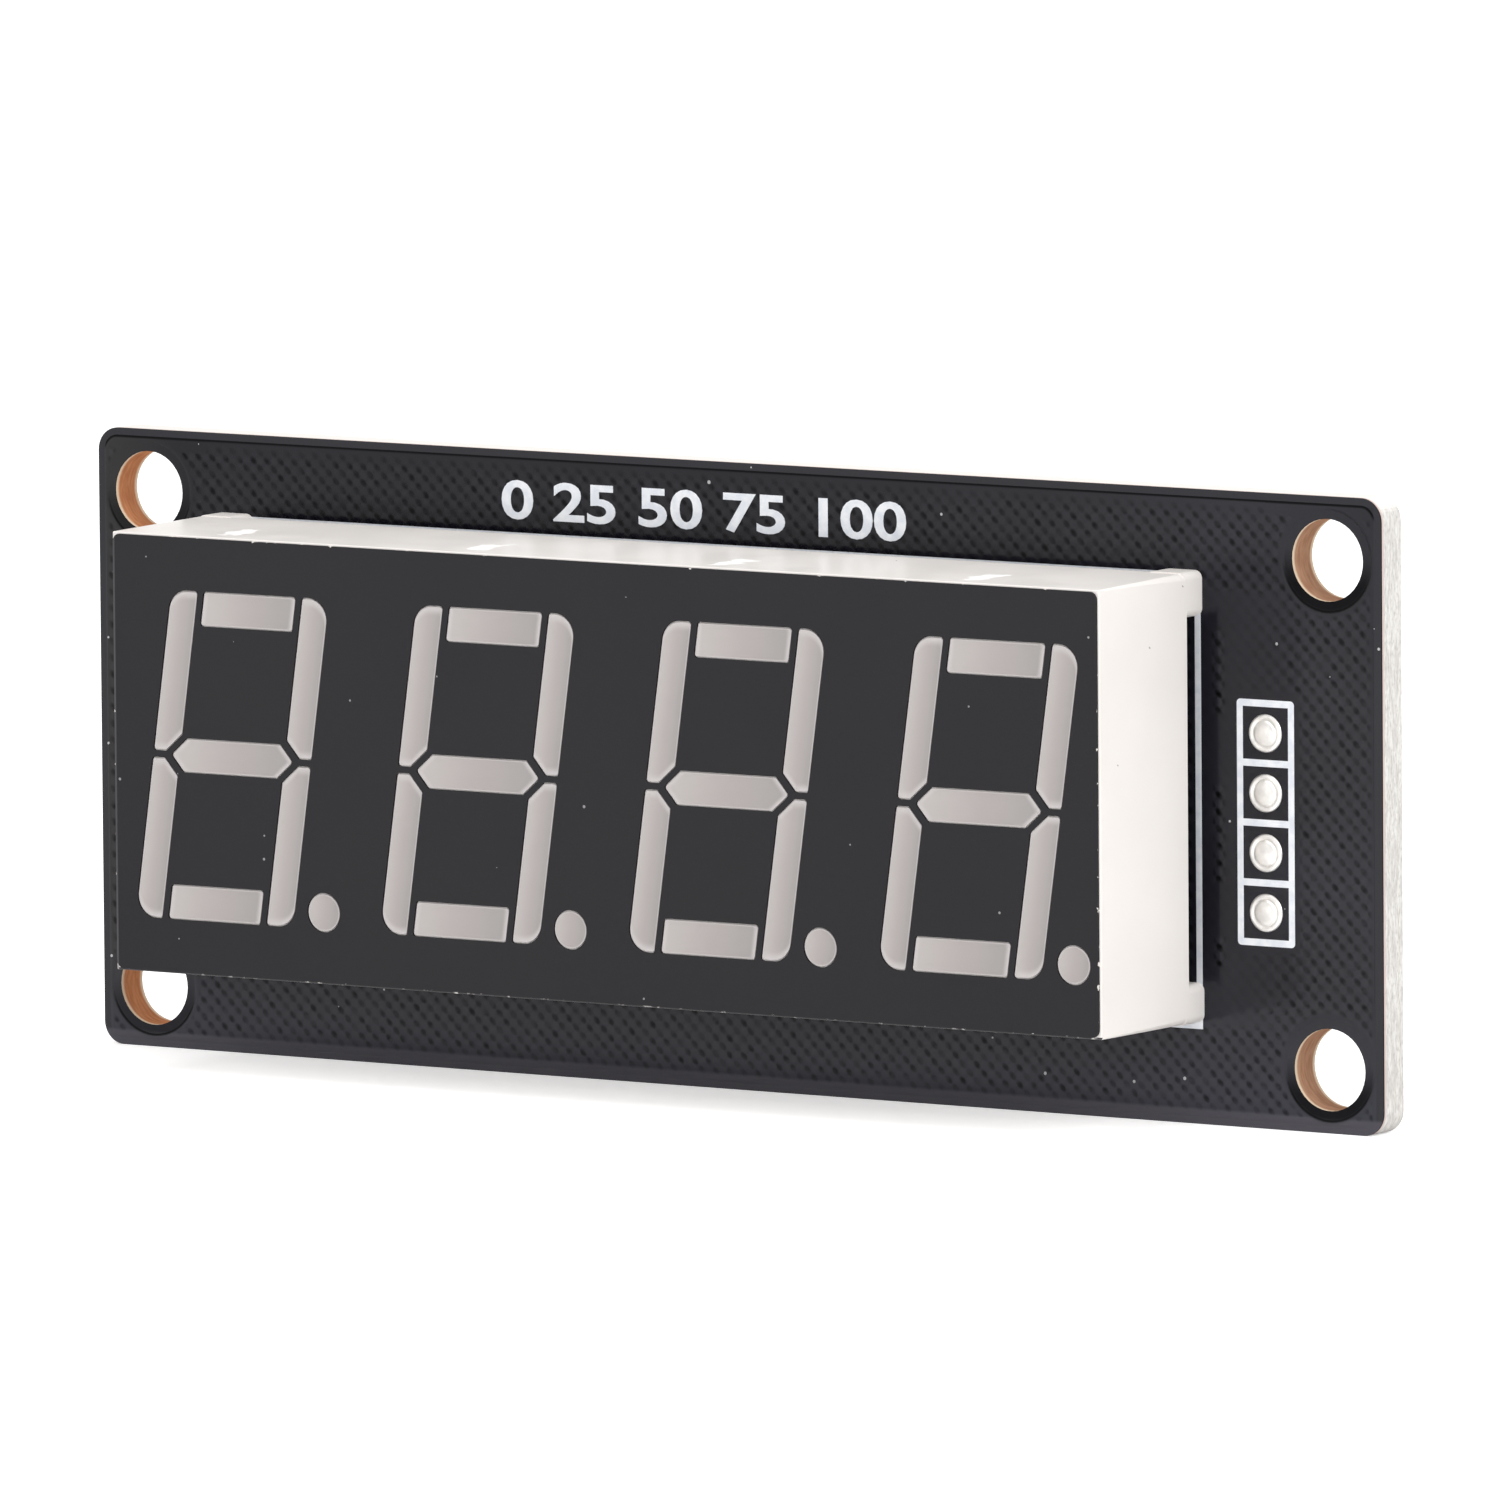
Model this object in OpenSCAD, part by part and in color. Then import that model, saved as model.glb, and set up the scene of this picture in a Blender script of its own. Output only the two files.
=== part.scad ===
// Four-digit seven segment LED display on a circuit board with a pin header.
// Millimetres. Origin at the centre of the four screw holes, on the board's rear face.
// X runs to the right, Z up, and the face looks along -Y.

/* [Digits] */
// Distance from one digit to the next
digit_pitch = 12.7; // [12.4:0.05:14]
// Shift of the row of digits to the right of the display's middle
digit_shift = 0.09; // [-0.1:0.01:0.1]
// Height of a digit
digit_h = 14.18; // [12:0.02:18]
// Width of a digit over its upright bars
digit_w = 8.16; // [7.2:0.02:8.4]
// Width of an upright bar
upright_w = 1.34; // [1:0.02:1.7]
// Height of the top and bottom bars
bar_h = 1.42; // [1:0.02:1.8]
// Height of the middle bar
middle_h = 1.4; // [1:0.02:1.8]
// Gap between the top bar and the uprights
bar_gap = 0.38; // [0.25:0.01:0.7]
// Gap between the upper and lower uprights
upright_gap = 0.38; // [0.25:0.01:0.7]
// Bevel on the inner end of an upright
upright_bevel = 0.74; // [0.3:0.02:0.85]
// Gap between the middle bar's points and the bevels
point_gap = 0.39; // [0.25:0.01:0.7]
// Lean of the digits to the right, in degrees
slant = 8.1; // [0:0.1:9]
// Radius of a digit's outer corners
outer_fillet = 0.9; // [0.25:0.05:0.95]
// Radius of the bars' small corners
bar_fillet = 0.1; // [0.04:0.01:0.12]
// Diameter of the decimal point
point_d = 1.6; // [1:0.05:1.7]
// Distance of the decimal point's centre outside the upright
point_out = 0.62; // [0.5:0.02:0.7]
// Height of the decimal point's centre above the digit's foot
point_up = 0.69; // [0.4:0.02:1.2]

/* [Display] */
// Face above and below the digits
face_margin = 2.41; // [1.8:0.01:4]
// How much narrower the display is than its digits' pitch, so that two can stand side by side
stack_gap = 0.5; // [0.2:0.05:0.6]
// Height of the display over its feet, without the face film
body_d = 8.0; // [7.2:0.1:10]
// Widening of the housing from its face to its back, on each side
draft = 0.08; // [0:0.01:0.15]
// Radius of the housing's upright corners
housing_corner = 0.35; // [0.1:0.05:0.6]
// Radius of the edge round the face
face_edge = 0.07; // [0.05:0.01:0.18]
// Side wall of the housing's pocket
wall = 0.8; // [0.5:0.05:0.85]
// Depth of the pocket in the housing's back
pocket_d = 2.4; // [2:0.05:3]
// Height of the feet
foot_h = 1.22; // [0.6:0.02:1.6]
// Length of an upper foot's sides
foot_l = 1.95; // [1.2:0.05:3]
// Height of a lower foot along the board
lower_foot_l = 1.7; // [1.2:0.05:3]
// How far a foot stands proud of the long sides
foot_proud = 0.04; // [0:0.01:0.3]
// Thickness of the black face film
film_t = 0.1; // [0.06:0.01:0.2]
// White flat left bare between the film and the rounded edge
film_bare = 0.01; // [0:0.01:0.2]
// White rim left bare round a segment
window_rim = 0.05; // [0.02:0.01:0.1]
// How far the segments lie below the film's face
segment_sink = 0.04; // [0.02:0.01:0.05]
// Straight depth of a light well behind the face
well_land = 0.6; // [0.3:0.05:1.5]
// Length of a light well at its foot, as a share of the segment's
well_foot_l = 0.5; // [0.35:0.05:0.9]
// Width of a light well at its foot, as a share of the segment's
well_foot_w = 0.72; // [0.5:0.02:0.9]
// Thickness of the inner LED board
led_board_t = 1.0; // [0.6:0.1:1.2]
// Play of the LED board in its pocket
led_board_play = 0.1; // [0.05:0.05:0.3]
// Side of an LED die
die_w = 0.36; // [0.2:0.02:0.44]
// Height of an LED die
die_h = 0.22; // [0.1:0.02:0.4]
// Distance of the poured resin below the housing's rim
pour_sink = 0.15; // [0.05:0.05:0.4]
// Diameter of a display pin
pin_d = 0.5; // [0.4:0.05:0.6]
// Play of a display pin in its board hole, over the diameter
pin_play = 0.4; // [0.2:0.05:0.5]
// Width of the pad ring round a pin hole
pin_ring = 0.45; // [0.3:0.05:0.55]
// Pitch of the display pins
pin_pitch = 2.54; // [2.3:0.02:3]
// Distance of a pin row from the display's long side
pin_inset = 1.88; // [1.5:0.02:2.2]
// Length of a display pin behind the board
pin_out = 1.35; // [1:0.05:2.5]
// Bare end of a display pin beyond its solder
pin_bare = 0.3; // [0.1:0.05:0.5]

/* [Board] */
// Board left of the display
margin_left = 6.26; // [5.5:0.02:10]
// Board right of the display
margin_right = 8.94; // [8.5:0.02:14]
// Board above the display
margin_top = 3.55; // [3:0.05:8]
// Board below the display
margin_bottom = 4.45; // [3.5:0.05:9]
// Thickness of the board
board_t = 1.6; // [1:0.1:2.4]
// Radius of the board's corners
board_corner = 1.0; // [0.3:0.1:2.5]
// Diameter of the screw holes
hole_d = 3.5; // [2.2:0.1:3.8]
// Distance of the screw holes from the board's short edges
hole_inset_x = 2.65; // [2.4:0.05:3]
// Distance of the screw holes from the board's long edges
hole_inset_z = 2.7; // [2.4:0.05:3.2]
// Thickness of the white print
print_t = 0.04; // [0.02:0.01:0.08]
// Width of the printed lines
print_line = 0.3; // [0.15:0.01:0.4]
// How far the printed display outline reaches below the display
outline_drop = 0.4; // [0:0.05:0.6]

/* [Header] */
// Pitch of the header pins
header_pitch = 2.54; // [2.2:0.02:2.8]
// Distance of the header from the board's right edge
header_inset = 5.75; // [5.4:0.05:6.4]
// Distance of the header's centre below the board's centre
header_drop = 0.5; // [0:0.05:1.5]
// Side of a square header pin
header_pin_w = 0.64; // [0.5:0.02:0.66]
// Diameter of the header's board holes
header_hole_d = 1.02; // [0.96:0.02:1.2]
// Height of the moulded strip
strip_h = 2.5; // [2:0.1:4]
// Width of the moulded strip
strip_w = 2.5; // [2:0.05:2.8]
// Corner cut of a strip cell
strip_cut = 0.5; // [0.2:0.05:0.7]
// Length of the header pins behind the strip
header_out = 6.0; // [4:0.1:9]
// Height of the pin ends in front of the board
header_stub = 0.12; // [0.06:0.02:0.16]
// Length of the pins' tapered tips
tip_l = 0.5; // [0.2:0.05:0.8]
// Taper of the pins' tips on each side
tip_in = 0.17; // [0.05:0.01:0.22]
// Diameter of the solder domes on the front
dome_d = 1.65; // [1.4:0.05:1.9]
// Height of the solder domes
dome_h = 0.26; // [0.2:0.02:0.5]

/* [Driver chip] */
// Length of the chip's body
chip_l = 12.8; // [12.2:0.1:15]
// Width of the chip's body
chip_w = 7.5; // [5:0.1:8]
// Height of the chip's body
chip_h = 2.3; // [1.5:0.1:2.6]
// Space under the chip
chip_gap = 0.12; // [0.05:0.01:0.3]
// Draft of the chip's sides, in degrees
chip_draft = 7; // [3:1:10]
// Diameter of the dimple that marks the first lead
dimple_d = 1.0; // [0.6:0.1:1.4]
// Depth of that dimple
dimple_h = 0.12; // [0.05:0.01:0.3]
// Pitch of the leads
lead_pitch = 1.27; // [0.9:0.01:1.3]
// Width of a lead
lead_w = 0.4; // [0.25:0.01:0.5]
// Thickness of a lead
lead_t = 0.25; // [0.15:0.01:0.3]
// Reach of the leads beyond the body
lead_reach = 1.4; // [1.2:0.05:1.6]
// Length of a lead's foot on the board
lead_foot = 0.7; // [0.5:0.05:0.8]
// Shift of the chip to the right of the display's middle
chip_shift = 0; // [-2:0.1:2]

/* [Small parts] */
// Length of a small ceramic part
small_l = 1.6; // [1.2:0.05:2]
// Width of a small ceramic part
small_w = 0.8; // [0.5:0.05:1.1]
// Height of a resistor
resistor_h = 0.45; // [0.3:0.05:0.6]
// Height of a capacitor
capacitor_h = 0.8; // [0.4:0.05:1]
// Distance from one small part to the next
small_pitch = 2.4; // [2.3:0.05:2.6]
// Distance of the small parts' middle from the chip's end
small_gap = 2.5; // [2.4:0.1:4]
// Length of a small part's end caps
cap_l = 0.32; // [0.2:0.02:0.45]
// Thickness of an end cap's skin
cap_t = 0.03; // [0.02:0.01:0.06]
// Length of the solder fillets in front of leads and end caps
toe_l = 0.32; // [0.15:0.01:0.4]

/* [Hidden] */
DIGITS = [1, 2, 3, 4];
SEGMENTS = ["a", "b", "c", "d", "e", "f", "g", "point"];
HEADER_PINS = [1, 2, 3, 4];
PIN_COLUMNS = [1, 2, 3, 4, 5, 6];
LEAD_COLUMNS = [1, 2, 3, 4, 5, 6, 7, 8, 9, 10];
RESISTORS = [1, 2];
CAPACITORS = [3, 4, 5];
SMALL_PARTS = concat(RESISTORS, CAPACITORS);
function segment_name(d, s) = str("digit_", d, "_segment_", s);
function dice_name(d) = str("digit_", d, "_dice");
function header_pin_name(i) = str("header_pin_", i);

$fn = 48;
// Overlap that lets one cut run into the next
cut = 0.1;
// Steps along a small rounded corner and along a large one
small_steps = 3;
large_steps = 10;

// Outline of the display and of the board round it
disp_w = len(DIGITS) * digit_pitch - stack_gap;
disp_h = digit_h + 2 * face_margin;
board_w = margin_left + disp_w + margin_right;
board_h = margin_bottom + disp_h + margin_top;
disp_x = (margin_left - margin_right) / 2;
disp_z = (margin_bottom - margin_top) / 2;
hole_x = board_w / 2 - hole_inset_x;
hole_z = board_h / 2 - hole_inset_z;

// Depths along Y, from the board's rear face at 0 to the face film in front
front_y = -board_t;
seat_y = front_y - print_t;
rim_y = seat_y - foot_h;
pour_y = rim_y - pour_sink;
pocket_y = rim_y - pocket_d;
face_y = seat_y - body_d;
segment_y = face_y - film_t + segment_sink;
well_y = face_y + well_land;
well_depth = pocket_y - well_y;
// Size of a light well where its taper meets its straight land, as a share of the segment
well_step = 0.95;

// Digit outline, upright: lean() adds the slant
half_h = digit_h / 2;
upright_out = digit_w / 2;
upright_in = upright_out - upright_w;
upright_mid = upright_out - upright_w / 2;
bar_half = upright_in - bar_gap;
middle_tip = upright_in + upright_bevel + upright_gap / 2 - point_gap * sqrt(2);
point_x = upright_out + point_out;
point_z = point_up - half_h;

// Rows of pins, leads and small parts
pin_row_z = disp_h / 2 - pin_inset;
pin_hole_d = pin_d + pin_play;
joint_h = pin_out - pin_bare;
header_x = board_w / 2 - header_inset;
header_l = len(HEADER_PINS) * header_pitch;
chip_x = disp_x + chip_shift;
chip_mid = chip_gap + chip_h / 2;
chip_half_h = (chip_h - lead_t) / 2;
chip_slope = chip_half_h * tan(chip_draft);
small_x = chip_x + chip_l / 2 + small_gap;
function row_place(i, row, pitch) = (i - (len(row) + 1) / 2) * pitch;
function digit_x(d) = row_place(d, DIGITS, digit_pitch) + digit_shift;
function header_z(i) = -row_place(i, HEADER_PINS, header_pitch) - header_drop;
function lead_x(i) = row_place(i, LEAD_COLUMNS, lead_pitch);
function small_z(i) = disp_z - row_place(i, SMALL_PARTS, small_pitch);
function small_h(i) = i <= len(RESISTORS) ? resistor_h : capacitor_h;

// Straight-sided outlines of the segments, anticlockwise and upright
function bar_points(z0, z1) = [[-bar_half, z0], [bar_half, z0], [bar_half, z1], [-bar_half, z1]];
function middle_points() = let (h = middle_h / 2, s = middle_tip - h)
    [[-middle_tip, 0], [-s, -h], [s, -h], [middle_tip, 0], [s, h], [-s, h]];
function upright_points() = let (z = upright_gap / 2)
    [[upright_out, z], [upright_out, half_h], [upright_in, half_h],
     [upright_in, z + upright_bevel], [upright_in + upright_bevel, z]];
function mirrored(points) = [for (i = [len(points) - 1:-1:0]) [-points[i].x, points[i].y]];
function turned(points) = [for (p = points) -p];
function upright_outline(s) =
    s == "a" ? bar_points(half_h - bar_h, half_h)
    : s == "b" ? upright_points()
    : s == "c" ? turned(mirrored(upright_points()))
    : s == "d" ? bar_points(-half_h, bar_h - half_h)
    : s == "e" ? turned(upright_points())
    : s == "f" ? mirrored(upright_points())
    : middle_points();
function lean(p) = [p.x + p.y * tan(slant), p.y];
function is_upright(s) = s == "b" || s == "c" || s == "e" || s == "f";

// Middle of a segment, where its die stands
function segment_centre(s) =
    s == "a" ? lean([0, half_h - bar_h / 2])
    : s == "b" ? lean([upright_mid, half_h / 2])
    : s == "c" ? lean([upright_mid, -half_h / 2])
    : s == "d" ? lean([0, bar_h / 2 - half_h])
    : s == "e" ? lean([-upright_mid, -half_h / 2])
    : s == "f" ? lean([-upright_mid, half_h / 2])
    : s == "g" ? [0, 0]
    : [point_x, point_z];

// An outline with every side moved outwards by d
function side_normal(a, b) = [b.y - a.y, a.x - b.x] / norm(b - a);
function grown(points, d) = [for (i = [0:len(points) - 1])
    let (n = len(points), p = points[i],
         n1 = side_normal(points[(i + n - 1) % n], p),
         n2 = side_normal(p, points[(i + 1) % n]))
    p + d * (n1 + n2) / (1 + n1 * n2)];

// An outline with corner i rounded to radius radii[i]
function unit(v) = v / norm(v);
function shorter_turn(a) = a > 180 ? a - 360 : a < -180 ? a + 360 : a;
function rounded(points, radii) = [for (i = [0:len(points) - 1])
    let (n = len(points), p = points[i], r = radii[i],
         u = unit(points[(i + n - 1) % n] - p),
         v = unit(points[(i + 1) % n] - p),
         half = acos(u * v) / 2,
         centre = p + unit(u + v) * r / sin(half),
         from = p + u * r / tan(half) - centre,
         to = p + v * r / tan(half) - centre,
         start = atan2(from.y, from.x),
         sweep = shorter_turn(atan2(to.y, to.x) - start),
         steps = r > 2 * bar_fillet ? large_steps : small_steps)
    for (k = [0:steps]) let (t = start + sweep * k / steps) centre + r * [cos(t), sin(t)]];

// The digit's outer corner is the second point of b and e, and the fourth of c and f
function outer_corner(s) = s == "b" || s == "e" ? 1 : s == "c" || s == "f" ? 3 : -1;
function segment_points(s, grow = 0) =
    let (leant = [for (p = upright_outline(s)) lean(p)])
    rounded(grown(leant, grow),
            [for (i = [0:len(leant) - 1]) (i == outer_corner(s) ? outer_fillet : bar_fillet) + grow]);

// Foot of a light well: the outline drawn in towards the die, more along the bar than across it
function well_share(s) = is_upright(s) ? [well_foot_w, well_foot_l] : [well_foot_l, well_foot_w];
function well_foot_points(s) = let (share = well_share(s), c = segment_centre(s))
    [for (p = segment_points(s)) [(p.x - c.x) * share.x, (p.y - c.y) * share.y]];

// Draws in the plane of the board: x and y become X and Z, and heights run from y towards the viewer
module facing(y) { translate([0, y, 0]) rotate([90, 0, 0]) children(); }
// Raises an outline behind the board, from y to y + h
module behind(y, h) { facing(y + h) linear_extrude(h) children(); }
module on_display() { translate([disp_x, 0, disp_z]) children(); }
module both_sides() {
    children();
    mirror([0, 0, 1]) children();
}

module rounded_rect(w, h, r) {
    square([w - 2 * r, h], center = true);
    square([w, h - 2 * r], center = true);
    for (sx = [-1, 1]) for (sz = [-1, 1]) translate([sx * (w / 2 - r), sz * (h / 2 - r)]) circle(r);
}
module frame_line(w, h, line) {
    difference() {
        square([w, h], center = true);
        square([w - 2 * line, h - 2 * line], center = true);
    }
}

module segment_outline(s, grow = 0) {
    if (s == "point") translate(segment_centre(s)) circle(d = point_d + 2 * grow);
    else polygon(segment_points(s, grow));
}
module well_foot(s) {
    if (s == "point") circle(d = point_d * well_foot_l);
    else polygon(well_foot_points(s));
}
module well_taper(s) {
    share = well_share(s);
    if (s == "point") cylinder(h = well_depth, d1 = point_d * well_foot_l, d2 = point_d * well_step);
    else linear_extrude(well_depth, scale = [well_step / share.x, well_step / share.y], slices = 1, segments = 0)
        well_foot(s);
}
// Light path of one segment from the LED board to front; over lets a cut run past the pocket's floor
module light_path(s, front, over = 0) {
    c = segment_centre(s);
    facing(well_y) linear_extrude(well_y - front) segment_outline(s);
    translate([c.x, 0, c.y]) {
        facing(pocket_y) well_taper(s);
        if (over > 0) facing(pocket_y + over) linear_extrude(over) well_foot(s);
    }
}
module light_wells() {
    for (d = DIGITS) for (s = SEGMENTS) translate([digit_x(d), 0, 0]) light_path(s, face_y - cut, cut);
}

// Section of the housing: rim on the x axis, face at the top, sides drafted, face edges rounded
module housing_section(w) {
    depth = rim_y - face_y;
    corners = [[-w / 2 - draft, 0], [w / 2 + draft, 0], [w / 2, depth], [-w / 2, depth]];
    round_corners = rounded(corners, [face_edge, face_edge, face_edge, face_edge]);
    face_half = [for (k = [len(round_corners) / 2:len(round_corners) - 1]) round_corners[k]];
    polygon(concat([corners[0], corners[1]], face_half));
}
// Block that widens by the draft from its face to its rim on all four sides
module housing_block() {
    w = disp_w + 2 * draft;
    h = disp_h + 2 * draft;
    intersection() {
        translate([0, rim_y, -h / 2]) mirror([0, 1, 0]) linear_extrude(h) housing_section(disp_w);
        translate([-w / 2, rim_y, 0]) mirror([0, 1, 0]) rotate([0, 90, 0])
            linear_extrude(w) housing_section(disp_h);
        facing(rim_y) linear_extrude(rim_y - face_y) rounded_rect(w, h, housing_corner);
    }
}
module pocket_outline(play = 0) {
    rounded_rect(disp_w - 2 * (wall + play), disp_h - 2 * (wall + play), housing_corner);
}
// Feet at the corners, seated on the poured resin where they reach over the pocket
module housing_feet() {
    x = disp_w / 2 + draft - foot_l / 2;
    long_side = disp_h / 2 + draft + foot_proud;
    for (sx = [-1, 1]) for (sz = [-1, 1]) {
        l = sz > 0 ? foot_l : lower_foot_l;
        translate([sx * x, 0, sz * (long_side - l / 2)])
            facing(seat_y) linear_extrude(foot_h + pour_sink) rounded_rect(foot_l, l, housing_corner);
    }
}
module display_housing() {
    color("#f1ece6") on_display() {
        difference() {
            housing_block();
            facing(rim_y + cut) linear_extrude(pocket_d + cut) pocket_outline();
            light_wells();
        }
        housing_feet();
    }
}

module face_film() {
    inset = face_edge + film_bare;
    color("#38363b") on_display() facing(face_y) linear_extrude(film_t) difference() {
        rounded_rect(disp_w - 2 * inset, disp_h - 2 * inset, housing_corner);
        for (d = DIGITS) for (s = SEGMENTS) translate([digit_x(d), 0]) segment_outline(s, window_rim);
    }
}

module die(s) {
    c = segment_centre(s);
    translate([c.x, 0, c.y]) facing(pocket_y) linear_extrude(die_h) square(die_w, center = true);
}
// Cast resin of one segment, round its die
module digit_segment(d, s) {
    color("#c8c0bc") on_display() translate([digit_x(d), 0, 0]) difference() {
        light_path(s, segment_y);
        die(s);
    }
}
module digit_dice(d) {
    color("#c9a94a") on_display() translate([digit_x(d), 0, 0]) for (s = SEGMENTS) die(s);
}

module at_pins(rows = [-1, 1]) {
    for (row = rows) for (i = PIN_COLUMNS)
        translate([row_place(i, PIN_COLUMNS, pin_pitch), 0, row * pin_row_z]) children();
}
module led_board() {
    color("#3f6b3a") on_display() difference() {
        facing(pocket_y + led_board_t) linear_extrude(led_board_t) pocket_outline(led_board_play);
        at_pins() facing(pocket_y + led_board_t + cut) cylinder(h = led_board_t + 2 * cut, d = pin_d);
    }
}
module back_resin() {
    depth = pour_y - pocket_y - led_board_t;
    color("#d9d2c6") on_display() difference() {
        facing(pour_y) linear_extrude(depth) pocket_outline();
        at_pins() facing(pour_y + cut) cylinder(h = depth + 2 * cut, d = pin_d);
    }
}
module display_pins(row) {
    color("silver") on_display() at_pins([row]) facing(pin_out) cylinder(h = pin_out - pocket_y, d = pin_d);
}
// Solder that fills a plated hole and climbs the pin in a hollow cone
module pin_joint() {
    r_pin = pin_d / 2;
    r_hole = pin_hole_d / 2;
    r_pad = r_hole + pin_ring;
    r_top = r_pin + pin_play / 10;
    slope = [for (t = [0:15:90]) [r_pad - (r_pad - r_top) * sin(t), joint_h * (1 - cos(t))]];
    rotate([-90, 0, 0]) rotate_extrude()
        polygon(concat([[r_pin, joint_h], [r_pin, front_y], [r_hole, front_y], [r_hole, 0]], slope));
}
module display_solder() { color("#c8ccd0") on_display() at_pins() pin_joint(); }

module circuit_board() {
    through = board_t + 2 * cut;
    color("#2d2d30") difference() {
        facing(0) linear_extrude(board_t) rounded_rect(board_w, board_h, board_corner);
        for (sx = [-1, 1]) for (sz = [-1, 1])
            translate([sx * hole_x, 0, sz * hole_z]) facing(cut) cylinder(h = through, d = hole_d);
        on_display() at_pins() facing(cut) cylinder(h = through, d = pin_hole_d);
        for (i = HEADER_PINS)
            translate([header_x, 0, header_z(i)]) facing(cut) cylinder(h = through, d = header_hole_d);
    }
}

// Cells round the header's solder joints, and the display's outline
module front_print() {
    color("#f4f7fb") facing(front_y) linear_extrude(print_t) {
        difference() {
            translate([header_x, -header_drop])
                rounded_rect(header_pitch + print_line, header_l + print_line, print_line * 0.6);
            for (i = HEADER_PINS) translate([header_x, header_z(i)])
                square(header_pitch - print_line, center = true);
        }
        translate([disp_x, disp_z - outline_drop / 2])
            frame_line(disp_w, disp_h + outline_drop, print_line);
    }
}
// Outlines of the header strip and the small parts, bars at the chip's ends and a dot at its first lead
module rear_print() {
    around = 2 * print_line;
    fine_line = print_line / 2;
    small_frame = [small_l + 2 * toe_l + around, small_w + around];
    color("#f4f7fb") behind(0, print_t) {
        translate([header_x, -header_drop])
            frame_line(strip_w + 2 * around, header_l + 2 * around, print_line);
        for (i = SMALL_PARTS) translate([small_x, small_z(i)])
            frame_line(small_frame.x, small_frame.y, fine_line);
        for (side = [-1, 1]) translate([chip_x + side * (chip_l / 2 + around), disp_z])
            square([print_line, chip_w], center = true);
        translate([chip_x + lead_x(1) - lead_pitch, disp_z + chip_w / 2 + lead_reach / 2])
            circle(d = around);
    }
}

// Strip of cells with cut corners on a straight core
module strip_outline() {
    diamond = (strip_w + header_pitch - 2 * strip_cut) / sqrt(2);
    for (i = HEADER_PINS) translate([header_x, header_z(i)]) intersection() {
        square([strip_w, header_pitch], center = true);
        rotate(45) square(diamond, center = true);
    }
    translate([header_x, -header_drop])
        square([strip_w - 2 * strip_cut, header_l - header_pitch], center = true);
}
module header_strip() {
    color("#1c1c1e") behind(0, strip_h) difference() {
        strip_outline();
        for (i = HEADER_PINS) translate([header_x, header_z(i)]) square(header_pin_w, center = true);
    }
}
// Square pin with a tip tapered on its four sides
module header_pin(i) {
    w = header_pin_w / 2;
    y0 = front_y - header_stub;
    y1 = strip_h + header_out;
    side = [[-w, y0], [w, y0], [w, y1 - tip_l], [w - tip_in, y1], [tip_in - w, y1], [-w, y1 - tip_l]];
    color("#d6c58a") translate([header_x, 0, header_z(i)]) intersection() {
        translate([0, 0, -w]) linear_extrude(2 * w) polygon(side);
        translate([-w, 0, 0]) rotate([0, 90, 0]) linear_extrude(2 * w) polygon(side);
    }
}
// Solder in the header's plated holes, ending in a round rim and a low dome over each pin end
module header_solder() {
    r = dome_d / 2;
    r_hole = header_hole_d / 2;
    step_r = (r + r_hole) * 0.43;
    ring_r = (r - step_r) / (1 + cos(45));
    ring_h = (dome_h + header_stub) * 0.4;
    step_h = ring_h * sin(45);
    rim = [for (t = [0:22.5:135]) [r - ring_r + ring_r * cos(t), ring_h * sin(t)]];
    crown = [for (t = [30:15:90]) [step_r * cos(t), step_h + (dome_h - step_h) * sin(t)]];
    half = concat([[0, -board_t], [r_hole, -board_t], [r_hole, 0]], rim, crown);
    color("#dcdddd") for (i = HEADER_PINS) translate([header_x, 0, header_z(i)]) difference() {
        facing(front_y) rotate_extrude() polygon(half);
        facing(cut) linear_extrude(cut + board_t + header_stub) square(header_pin_w, center = true);
    }
}

// Half of the chip's body beyond the band that holds the leads, drafted on all sides
module chip_taper() {
    linear_extrude(chip_half_h, scale = [1 - 2 * chip_slope / chip_l, 1 - 2 * chip_slope / chip_w],
                   slices = 1, segments = 0)
        square([chip_l, chip_w], center = true);
}
module on_chip() { translate([chip_x, 0, disp_z]) children(); }
module driver_chip() {
    color("#202022") on_chip() difference() {
        union() {
            facing(chip_mid - lead_t / 2) chip_taper();
            mirror([0, 1, 0]) facing(-chip_mid - lead_t / 2) chip_taper();
            behind(chip_mid - lead_t / 2, lead_t) square([chip_l, chip_w], center = true);
        }
        behind(chip_gap + chip_h - dimple_h, dimple_h + cut)
            translate([lead_x(1), chip_w / 2 - chip_slope - dimple_d]) circle(d = dimple_d);
    }
}
// Side view of a lead: out of the body, down in a bend and out again in a foot
module lead_side() {
    top = chip_mid + lead_t / 2;
    root = chip_w / 2;
    ankle = root + lead_reach - lead_foot;
    knee = (root + ankle) / 2;
    toe = root + lead_reach;
    polygon([[root, top - lead_t], [knee, top - lead_t], [ankle, 0], [toe, 0],
             [toe, lead_t], [ankle + lead_t, lead_t], [knee + lead_t, top], [root, top]]);
}
// Raises a side view, drawn as distance out from the chip and height over the board, at every lead
module at_leads() {
    on_chip() both_sides() for (i = LEAD_COLUMNS)
        translate([lead_x(i) - lead_w / 2, 0, 0]) rotate([0, 90, 0]) linear_extrude(lead_w) children();
}
module driver_leads() { color("#b9bcc0") at_leads() lead_side(); }

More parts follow.
